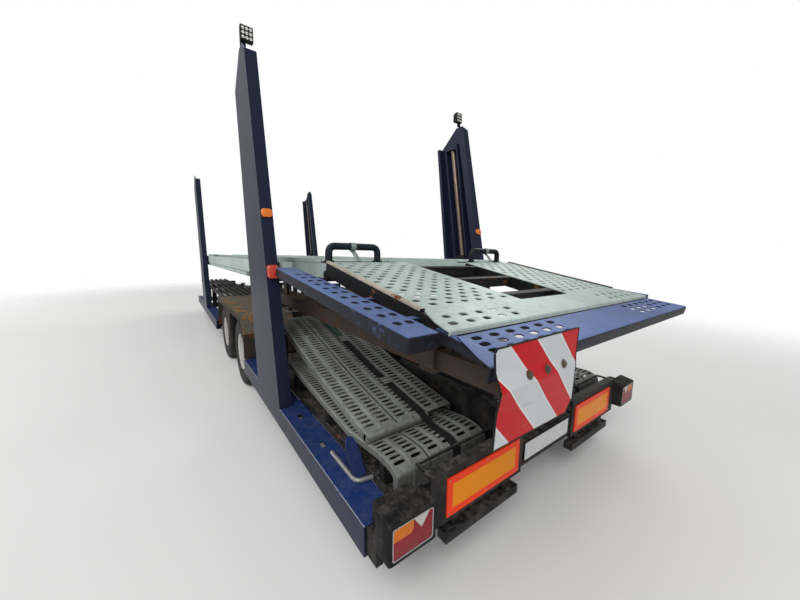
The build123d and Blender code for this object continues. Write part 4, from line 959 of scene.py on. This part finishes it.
# %% [markdown]
# ## Ramps and what holds them
# Three planks a side lie on two levels. A plank is a strip of the same pierced plate, laid along
# a bent line, with flanges down both sides. Its slots run across it in two columns, with a
# pressed bead between the columns. At the rear the lower planks curl down to the trough.

# %% Planks
LOWER = [(0.150, 0.441), (0.150, 0.553), (0.225, 0.585), (0.330, 0.585), (0.640, 0.545), (1.750, 0.632)]
UPPER = [(0.440, 0.622), (1.000, 0.722), (2.050, 0.968)]
PLANKS = ((0.440, 0.645), (0.655, 0.860), (0.870, 1.075))     # inner and outer edge
PLANK_PLATE, PLANK_BEND = 0.004, 0.006          # thickness of a plank, radius of its bent edges
CROSS_TUBE = (0.440 - MID, 0.5945)              # x and z of the tube that carries the upper planks
SLOT = (0.0100, 0.0335)
SLOT_PITCH = 0.038
BEAD = [(-0.009, 0.0), (-0.005, 0.0035), (0.005, 0.0035), (0.009, 0.0)]


def plank(line, low, high, first, side, depth):
    """One plank between y = low and high, its first slot at the distance first along the line."""
    laid = along(line)
    place = mirrored(laid, side)
    count = int((laid.length - first - 0.04) / SLOT_PITCH)
    middle, quarter = (low + high) / 2, (high - low) / 4
    starts = [u for u in laid.steps if u < first - 0.004] + [first]
    rows = [(a, b, []) for a, b in zip(starts, starts[1:])]
    rows += [(first + k * SLOT_PITCH, first + (k + 1) * SLOT_PITCH, (middle - quarter, middle + quarter))
             for k in range(count)]
    rows.append((rows[-1][1], laid.length, []))
    near, far = low + PLANK_BEND, high - PLANK_BEND
    patches = pierced(rows, lambda u: (near, far), min(quarter - 0.004, 0.040), SLOT, place,
                      thick=PLANK_PLATE, press=0.001, corners=8)
    steps = np.unique(np.concatenate([laid.steps, np.linspace(0, laid.length, 24)]))
    for y, out in ((near, -1), (far, 1)):
        path, down = line_on(place, steps, y, -1.0)
        patches += folded(path, (0, out * side, 0), down, depth, PLANK_BEND, PLANK_PLATE)
    path, up = line_on(place, steps, middle)
    return patches + [capped(carried(BEAD, path, (0, side, 0), up))]


for word, side in SIDES:
    patches = []
    for low, high in PLANKS:
        patches += plank(LOWER, low, high, 0.150, side, 0.036)
        patches += plank(UPPER, low, high, 0.035, side, 0.048)
    x, z = CROSS_TUBE
    patches += tube([(x, side * 0.650, z), (x, side * 1.075, z)], 0.0270, 16)
    for low, high in PLANKS:
        for k in range(4):
            y = side * (low + 0.045 + k * (high - low - 0.090) / 3)
            patches += bar((0.156 - MID, y - 0.004, 0.445), (0.166 - MID, y + 0.004, 0.540))
    piece(f"{word}_ramp_planks", patches, "ramp_grey", replaces=[f"{word}_ramps"])

# %% [markdown]
# A black strap runs lengthwise over the planks of each side, from the upper level over the cross
# tube and the hump, down to the trough. It's a flat band carried along its own bent line, with
# two buckles on it. A faded green strap goes on from the front one along the planks.

# %% Straps
WEBBING = 0.0035            # thickness
STRAP = [(1.560, 0.8540), (1.000, 0.7225), (0.450, 0.6265), (0.405, 0.612), (0.330, 0.5865),
         (0.225, 0.5865), (0.1465, 0.553), (0.1465, 0.440)]
GREEN = [(1.500, 0.8450), (2.040, 0.9715)]
BUCKLES = ((0.830, 0.1786, 0.070), (1.500, 0.2343, 0.085))      # station, slope of the planks there, length


def band(line, y, width):
    """A flat band of webbing along a line of (station, z), its middle at y."""
    place = along(line)
    steps = np.unique(np.concatenate([place.steps, np.linspace(0, place.length, 40)]))
    path, up = line_on(place, steps, y)
    return [capped(carried(box_of((-width / 2, width / 2), (0, WEBBING)), path, (0, 1, 0), up))]


patches, greens, clips = [], [], []
for _, side in SIDES:
    y = side * 0.685
    patches += band(STRAP, y, 0.050)
    greens += band(GREEN, y - side * 0.004, 0.044)
    for s, slope, length in BUCKLES:
        half, z = length / 2, 0.722 + (s - 1.000) * slope + 0.004
        place = along([(s - half, z - half * slope), (s + half, z + half * slope)])
        clips += drawn(box_of((0, place.length), (y - 0.032, y + 0.032)), place, 0.0, 0.008)
        for u in (0.25, 0.75):
            spot = place(np.full(2, u * place.length), y + np.array([-0.034, 0.034]), 0.010)
            clips += tube(spot, 0.0055, 10)
piece("ramp_strap_bands", patches, "strap_web", replaces=["ramp_straps"])
piece("ramp_green_straps", greens, "green_web")
piece("ramp_strap_clips", clips, "bare_steel", bevel=0.0015)

# %% [markdown]
# ## The rear
# The striped board hangs on the end of the drawn-out beam. Its two side edges are bent lines
# of different shape, so its surface is a blend from the left one to the right one: it sticks
# out along a level ridge, further on the left. Two opposite corners are cut off.

# %% Striped board
LEFT_EDGE = [(-0.400, 1.317), (-0.405, 1.251), (-0.428, 1.201), (-0.416, 1.139), (-0.411, 1.028)]
RIGHT_EDGE = [(-0.400, 1.318), (-0.398, 1.217), (-0.401, 1.177), (-0.399, 1.080), (-0.398, 1.006)]
BOARD_LEFT, BOARD_RIGHT = 1.167, 0.689
BOARD_SHEET = 0.003
edges = [rounded([(x, 0.0, z) for x, z in from_stations(edge)], 0.004, 3)[:, ::2]
         for edge in (LEFT_EDGE, RIGHT_EDGE)]
shares = np.concatenate([[0.0, 0.010, 0.023], np.linspace(0.08, 0.86, 8), [0.906, 0.950, 1.0]])
lines = edges[0][None] * (1 - shares[:, None, None]) + edges[1][None] * shares[:, None, None]
across = BOARD_LEFT + (BOARD_RIGHT - BOARD_LEFT) * shares
board = spread(lines[..., 0], across[:, None], lines[..., 1])
top_cut, low_cut = 0.011, 0.045
board[..., 2] -= np.clip(top_cut - (BOARD_LEFT - board[..., 1]), 0, 1) * (board[..., 2] > 1.30)
board[..., 2] += np.clip(low_cut - (board[..., 1] - BOARD_RIGHT), 0, 1) * (board[..., 2] < 1.03)
back = board + np.array([BOARD_SHEET, 0, 0])
brim = [np.concatenate([face[:, 0], face[-1, 1:], face[-2::-1, -1], face[0, -2:0:-1]])
        for face in (board, back)]
patches = [outward([grid(board), grid(back, flip=True), grid(np.stack(brim), ring=True)])]
piece("striped_board", patches, "stripe_panel", "upper_deck", replaces=["striped_panel"], smooth=0.12)

trim = brim[0] + np.array([0.0015, 0, 0])
loop = np.concatenate([trim, trim[:1]])
piece("striped_board_trim", tube(loop, 0.0032, 6, lids=False), "frame_black", "upper_deck", smooth=1.2)

patches = []
for s, y, z in ((-0.4111, 1.0119, 1.2163), (-0.4069, 0.9008, 1.2104), (-0.4027, 0.7872, 1.2046)):
    foot, out = np.array([s - MID, y, z]), np.array([-0.951, 0.0, 0.309])
    patches += tube([foot - out * 0.002, foot + out * 0.0030], 0.0150, 16)
    patches += tube([foot + out * 0.0030, foot + out * 0.0100], 0.0082, 6)
piece("striped_board_bolts", patches, "rusty_bolt", "upper_deck")

# %% [markdown]
# ## Catches, cylinders and frames
# A blue horn leans forward on each rail's inner edge: a thick plate across the trailer, held by
# a web ahead of it. Outside it a round bar lies on the rail and bends inwards behind the foot.

# %% Ramp catches
RAIL_TOP = 0.430
FOOT, LEAN = (0.392 - MID, 0.4306), (0.6, 0.8)
HORN = [(1.101, 0.0), (1.178, 0.0), (1.182, 0.120), (1.165, 0.205), (1.118, 0.205), (1.101, 0.120)]
WEB = [(0.392, 0.4306), (0.512, 0.5906), (0.528, 0.575), (0.500, 0.4306)]
horn = rounded([(y, t, 0.0) for y, t in HORN], 0.022, 5)[:, :2]
patches, bars = [], []
for _, side in SIDES:

    def on_horn(u, v, w, side=side):
        """u across the trailer, v up the leaning face, w out of it to the rear."""
        return spread(FOOT[0] + v * LEAN[0] - w * LEAN[1], side * u, FOOT[1] + v * LEAN[1] + w * LEAN[0])

    patches += drawn(horn, on_horn, 0.0, 0.012)
    patches += drawn(from_stations(WEB), lambda u, v, w: spread(u, side * w, v), 1.132, 1.144)
    z = RAIL_TOP + 0.0130
    line = [(0.650 - MID, side * 1.176, z), (0.362 - MID, side * 1.176, z), (0.345 - MID, side * 1.090, z)]
    bars += tube(rounded(line, 0.035, 7), 0.0125, 14)
piece("ramp_catch_horns", patches, "rail_blue", replaces=["ramp_catches"], bevel=0.003)
piece("ramp_catch_bars", bars, "bare_steel", smooth=1.0)

# %% [markdown]
# The cylinders on the main beams are turned parts: a collar at each end, a smooth barrel, then a
# thinner rod. Each rests on three saddles.

# %% Cylinders
BEAM_TOP, RAM_Y, RAM_Z = 0.720, 0.380, 0.780
BARREL = [(0.1300, 0.0300), (0.1340, 0.0375), (0.1700, 0.0375), (0.1710, 0.0340), (1.2050, 0.0340),
          (1.2060, 0.0378), (1.2470, 0.0378), (1.2500, 0.0330), (1.2510, 0.0215), (1.9200, 0.0215),
          (1.9210, 0.0280), (1.9500, 0.0280)]
patches, saddles = [], []
for _, side in SIDES:
    stations, radii = zip(*BARREL)
    patches += tube([(s - MID, side * RAM_Y, RAM_Z) for s in stations], radii, 24)
    for s in (0.300, 1.150, 1.890):
        saddles += bar((s - 0.030 - MID, side * RAM_Y - 0.040, BEAM_TOP),
                       (s + 0.030 - MID, side * RAM_Y + 0.040, RAM_Z - 0.011))
piece("ramp_cylinder_barrels", patches, "hydraulic_black", replaces=["ramp_cylinders"])
piece("ramp_cylinder_saddles", saddles, "frame_black", bevel=0.003)

# %% [markdown]
# An open frame of flat bar joins each bumper channel to the troughs: one bar across, two along.

# %% Frames over the bumper
FRAME_BARS = (((0.124, 0.136), (0.300, 0.985)), ((0.055, 0.128), (0.300, 0.312)),
              ((0.055, 0.128), (0.973, 0.985)))
patches = []
for _, side in SIDES:
    for (rear, front), (inner, outer) in FRAME_BARS:
        patches += bar((rear - MID, side * inner, 0.586), (front - MID, side * outer, 0.5995))
piece("bumper_frames", patches, "frame_black", bevel=0.002)

# %% [markdown]
# Marker plates are thin sheets with rounded corners on the black channels, held by small rivets.
# The lamps are deep boxes. Each has a lens in front with rounded corners, set in a pale rim.

# %% Marker plates, number plate
def rear_face(u, v, w):
    """Lays u across as y, v up as z, and w rearwards of the rear plane."""
    return spread(-MID - w, u, v)


patches, rivets = [], []
inner, outer, low, high = MARKER
for _, side in SIDES:

    def place(u, v, w, side=side):
        """As rear_face, mirrored for the right side."""
        return rear_face(side * u, v, w)

    patches += drawn(round_corners(*MARKER, 0.006), place, -0.0078, -0.0005)
    for u in (inner + 0.014, (inner + outer) / 2, outer - 0.014):
        for v in (low + 0.014, high - 0.014):
            rivets += tube([place(u, v, w) for w in (-0.0008, 0.0004, 0.0012)], [0.0048, 0.0042, 0.0015], 8)
piece("marker_sheets", patches, "marker_orange", replaces=["marker_plates"])
piece("marker_rivets", rivets, "bare_steel")

HOLDER_FACE = 0.016
patches = drawn(round_corners(-0.260, 0.260, 0.383, 0.495, 0.012), rear_face,
                -HOLDER_FACE, -HOLDER_FACE + 0.0035)
piece("number_plate_sheet", patches, "plate_white", replaces=["number_plate"])
patches = []
for low, high in (((-0.266, 0.377), (0.266, 0.384)), ((-0.266, 0.494), (0.266, 0.501)),
                  ((-0.266, 0.377), (-0.259, 0.501)), ((0.259, 0.377), (0.266, 0.501))):
    patches += bar((0.0095 - MID, *low), (HOLDER_FACE - MID, *high))
piece("number_plate_frame", patches, "lamp_black", bevel=0.0012)

# %% Lamps
LAMP = (1.016, 1.262, 0.372, 0.552)             # inner, outer, lower and upper side
LAMP_REAR, LAMP_FRONT, RIM, DEPTH = -0.050, 0.045, 0.022, 0.012
# rings of (station, inset from the sides, radius of the corners, how far the upper side is raised)
BOX = ((LAMP_FRONT, 0.0, 0.012, 0.016), (LAMP_REAR + 0.006, 0.0, 0.014), (LAMP_REAR, 0.004, 0.013),
       (LAMP_REAR, RIM - 0.004, 0.010), (LAMP_REAR + DEPTH, RIM - 0.002, 0.010))
GLASS = ((LAMP_REAR + DEPTH, RIM, 0.010), (LAMP_REAR + 0.002, RIM, 0.010), (LAMP_REAR, RIM + 0.004, 0.008))
EDGE = ((LAMP_REAR + 0.004, RIM - 0.0040, 0.012), (LAMP_REAR - 0.0008, RIM - 0.0030, 0.011),
        (LAMP_REAR - 0.0008, RIM + 0.0010, 0.010), (LAMP_REAR + 0.004, RIM + 0.0010, 0.010))


def lamp_rings(table, side):
    """The rings of a table, placed on one side of the trailer."""
    rings = []
    for station, inset, radius, *lift in table:
        low, high, bottom, top = LAMP
        outline = round_corners(low + inset, high - inset, bottom + inset, top - inset + sum(lift), radius)
        rings.append(spread(station - MID, side * outline[:, 0], outline[:, 1]))
    return np.stack(rings)


patches, lenses, rims = [], [], []
for _, side in SIDES:
    patches.append(capped(lamp_rings(BOX, side)))
    patches += bar((0.040 - MID, side * 1.030, 0.385), (0.120 - MID, side * 1.230, 0.535))
    patches += bar((0.040 - MID, side * 1.225, 0.300), (0.1195 - MID, side * 1.259, 0.425))
    lenses.append(capped(lamp_rings(GLASS, side)))
    rims.append(outward([grid(lamp_rings(EDGE, side), ring=True, loop=True)]))
piece("tail_lamp_housings", patches, "lamp_black", replaces=["tail_lamp_boxes"])
piece("tail_lamp_lenses", lenses, "lens_red", replaces=["tail_lenses"])
piece("tail_lamp_rims", rims, "pale_rim")

# %% [markdown]
# Each post carries a rounded red lamp low down and a square orange one above it. On top stands
# a square work lamp with a ribbed back and a pale face of small cells.

# %% Post lamps and work lamps
POST_FOOT, POST_LEAN = 1.354, 0.222     # station of a rear post's rear edge on the rail, and its lean
POST_LAMPS = ((1.430, 0.050, 0.060), (1.870, 0.032, 0.018))     # height of the middle, half height, depth
BULGE = ((0.0, 1.0), (0.7, 1.0), (0.92, 0.90), (1.0, 0.72))     # share of the depth, share of the size
POST_INNER, POST_OUTER = 1.185, 1.265
WORK_INNER, WORK_OUTER = 1.175, 1.270


def on_post(z):
    """x of a rear post's rear edge at a height."""
    return POST_FOOT + POST_LEAN * (z - RAIL_TOP) - MID


patches = []
middle_y = (POST_INNER + POST_OUTER) / 2
for _, side in SIDES:
    for middle, half, depth in POST_LAMPS:
        shape = round_corners(POST_INNER, POST_OUTER, -half, half, min(half, 0.022))
        rings = []
        for back, shrink in BULGE:
            y, z = middle_y + (shape[:, 0] - middle_y) * shrink, middle + shape[:, 1] * shrink
            rings.append(spread(on_post(z) - back * depth, side * y, z))
        patches.append(capped(rings))
piece("post_lamp_lenses", patches, "marker_lens", replaces=["post_lamps"])

lamp_x = on_post(3.130) + 0.1375        # the middle of the post's top
patches, faces = [], []
for _, side in SIDES:
    inner, wide = side * WORK_INNER, side * (WORK_OUTER - WORK_INNER)
    patches += bar((lamp_x - 0.010, side * 1.228, 3.200), (lamp_x + 0.010, side * WORK_OUTER, 3.242))
    patches += bar((lamp_x - 0.035, inner, 3.240), (lamp_x + 0.006, inner + wide, 3.350))
    for k in range(7):
        y = inner + wide * (0.06 + 0.88 * k / 6)
        patches += bar((lamp_x + 0.004, y - 0.002, 3.246), (lamp_x + 0.030, y + 0.002, 3.344))
    for k in range(3):
        for row in range(3):
            y, z = inner + wide * (0.2 + 0.3 * k), 3.262 + 0.033 * row
            faces += tube([(lamp_x - 0.0345, y, z), (lamp_x - 0.0355, y, z)], 0.0120, 12)
piece("work_lamp_bodies", patches, "work_lamp", replaces=["work_lamps"], bevel=0.002)
piece("work_lamp_cells", faces, "lamp_cell")

# %% [markdown]
# ## Wheels
# Twin tyres on each corner. A tyre is its cross-section turned about the axle: bead, bulging
# side, shoulder, and a tread with four grooves. The rim is dished to the middle between the
# twins. Its disc is a pierced plate once more, laid round the axle in angle and radius.

# %% Tyres and rims
AXLES = (("rear", 3.150), ("front", 4.350))
HUB_HEIGHT, OUTER_TYRE, INNER_TYRE = 0.395, 1.1145, 0.8395
half_tyre = [(0.094, 0.2150), (0.104, 0.2230), (0.1125, 0.2500), (0.1170, 0.2900), (0.1165, 0.3200),
             (0.1130, 0.3500), (0.1060, 0.3760), (0.1000, 0.3880), (0.0920, 0.3930), (0.0800, 0.3945)]
for centre in (0.066, 0.024):
    half_tyre += [(centre + 0.0055, 0.3950), (centre + 0.0035, 0.3840), (centre - 0.0035, 0.3840),
                  (centre - 0.0055, 0.3950)]
section = half_tyre + [(-y, r) for y, r in reversed(half_tyre)]
dish = np.array([(0.088, 0.992), (0.120, 0.992), (0.138, 0.985), (0.180, 0.970), (0.2010, 0.968)])
WELL = [(0.7370, 0.2147), (0.7400, 0.2030), (0.7700, 0.1960), (0.9500, 0.1960), (0.9560, 0.2010),
        (0.9700, 0.2010), (1.0000, 0.1960), (1.1800, 0.1960), (1.2100, 0.2030), (1.2170, 0.2147),
        (1.2150, 0.2120), (1.2060, 0.1990), (1.1780, 0.1920), (0.9900, 0.1920), (0.9560, 0.1950),
        (0.7700, 0.1920), (0.7420, 0.1990)]
HUB = [(0.9900, 0.0002), (0.9900, 0.086), (1.0600, 0.086), (1.1100, 0.080), (1.1450, 0.074),
       (1.1500, 0.066), (1.1660, 0.063), (1.1700, 0.056), (1.1700, 0.0002)]
VENTS, DISC = (0.142, 0.186), 0.010     # radii between which the openings lie, thickness of the disc
PLAIN = ((0.050, 0.088), (0.088, 0.120), (0.120, VENTS[0]), (VENTS[1], 0.1955))


def rim_disc(turn, r, w):
    """Lays angle, radius and height on the dished disc, about the axle at the origin."""
    return spread(r * np.cos(turn), np.interp(r, *dish.T) + w, r * np.sin(turn))


def ring_of(count, radius, turn=0.0):
    """Places of (x, z) round the axle."""
    angle = turn + 2 * pi * np.arange(count) / count
    return np.stack([radius * np.cos(angle), radius * np.sin(angle)], -1)


def turned(profile, side, centre, sides):
    """A profile of (distance from the middle plane, radius) turned about the axle on one side."""
    return lathe([(side * y, r) for y, r in profile], centre, sides)


def disc_patches():
    """The disc of a left wheel about the origin: ten openings, and plain plate inside and outside them."""
    step, middle = pi / 10, sum(VENTS) / 2
    spots = [(k * 2 * step, middle) for k in range(10)]
    cell = (step, (VENTS[1] - VENTS[0]) / 2)
    made = [openings(spots, cell, (0.115, 0.0150), rim_disc, lip=0.004, thick=DISC)]
    around = np.linspace(0, 2 * pi, 40, endpoint=False)[None, :]
    for radii in PLAIN:
        for w, flip in ((0.0, False), (-DISC, True)):
            made.append(grid(rim_disc(around, np.array(radii)[:, None], w), ring=True, flip=flip))
    return made


for place, station in AXLES:
    for word, side in SIDES:
        middle = np.array([station - MID, 0.0, HUB_HEIGHT])
        body, tip = f"{word}_{place}_wheel", np.array([0.0, side, 0.0])
        patches = [lathe([(side * y + offset, r) for offset, r in section], middle, 72)
                   for y in (OUTER_TYRE, INNER_TYRE)]
        piece(f"{word}_{place}_tyre_pair", patches, "tyre_rubber", body,
              replaces=[f"{word}_{place}_tyres"], smooth=0.5)

        patches = [turned(WELL, side, middle, 48)]
        for points, faces in disc_patches():
            points = points * np.array([1.0, side, 1.0]) + middle
            patches.append((points, faces if side > 0 else [face[::-1] for face in faces]))
        patches.append(turned(HUB, side, middle, 32))
        piece(f"{word}_{place}_rim_pair", patches, "rim_white", body, replaces=[f"{word}_{place}_rims"])

        patches = []
        for x, z in ring_of(10, 0.1060):
            foot = middle + np.array([x, side * 0.990, z])
            patches += tube([foot, foot + 0.022 * tip, foot + 0.025 * tip], [0.0150, 0.0150, 0.0120], 6)
            patches += tube([foot + 0.024 * tip, foot + 0.040 * tip], 0.0085, 8)
        for x, z in ring_of(8, 0.0700, 0.3):
            foot = middle + np.array([x, side * 1.140, z])
            patches += tube([foot, foot + 0.014 * tip], 0.0080, 6)
        piece(f"{word}_{place}_wheel_nuts", patches, "rusty_bolt", body)

# %% [markdown]
# ## The stage
# A plain pale floor, a white surround and soft light from the sky. The surround is white only to
# the camera. What lights the trailer is kept at a plain level. The floor fades out far away, so
# that no line shows where it ends.

# %% Floor and light
def surround_strength(tree, strength):
    """White for what looks at it, and a softer light for what it lights."""
    seen = Wire(tree).node("ShaderNodeLightPath", out="Is Camera Ray")
    return seen * (1 - strength) + strength


world = bpy.data.worlds.new("surround")
world.use_nodes = True
bpy.context.scene.world = world
sky = next(n for n in world.node_tree.nodes if n.type == "BACKGROUND")
sky.inputs["Color"].default_value = (1.0, 1.0, 1.0, 1.0)
world.node_tree.links.new(surround_strength(world.node_tree, 0.50).socket, sky.inputs["Strength"])

floor_mesh = bpy.data.meshes.new("floor")
floor_mesh.from_pydata([(-40, -40, 0), (40, -40, 0), (40, 40, 0), (-40, 40, 0)], [], [(0, 1, 2, 3)])
floor = bpy.data.objects.new("floor", floor_mesh)
pale = Finish("floor_pale", 0.9)
pale.colour(pale.noise(0.8, 3).between((0.86, 0.86, 0.85), (0.90, 0.90, 0.89)))
far = (pale.x * pale.x + pale.y * pale.y * 2.0).rise(230.0, 40.0)
pale.feed("Alpha", far)
floor_mesh.materials.append(pale.material)
bpy.context.scene.collection.objects.link(floor)

for name, place, aim, size, power in (
        ("key", (-9.0, 7.0, 9.0), (-2.0, 0.0, 1.0), 6.0, 620.0),
        ("fill", (6.0, 10.0, 7.0), (1.0, 0.0, 1.0), 7.0, 380.0),
        ("back", (2.0, -10.0, 8.0), (0.0, 0.0, 1.0), 7.0, 300.0)):
    lamp = bpy.data.lights.new(name, "AREA")
    lamp.size = size
    lamp.energy = power
    holder = bpy.data.objects.new(name, lamp)
    holder.location = place
    holder.rotation_euler = (Vector(place) - Vector(aim)).to_track_quat("Z", "Y").to_euler()
    bpy.context.scene.collection.objects.link(holder)
print("lights ready")

# %% [markdown]
# ## The rest, and the end
# Beams, posts and the other plain parts stay as the imported model has them. Each takes the finish
# that is named after its slot in the record.

# %% Finishes of the parts that stay as they are
for subpart in frame["record"]["subparts"]:
    node = nodes[subpart["node"]]
    node.data.materials.clear()
    node.data.materials.append(finishes[subpart["material_slot"]])
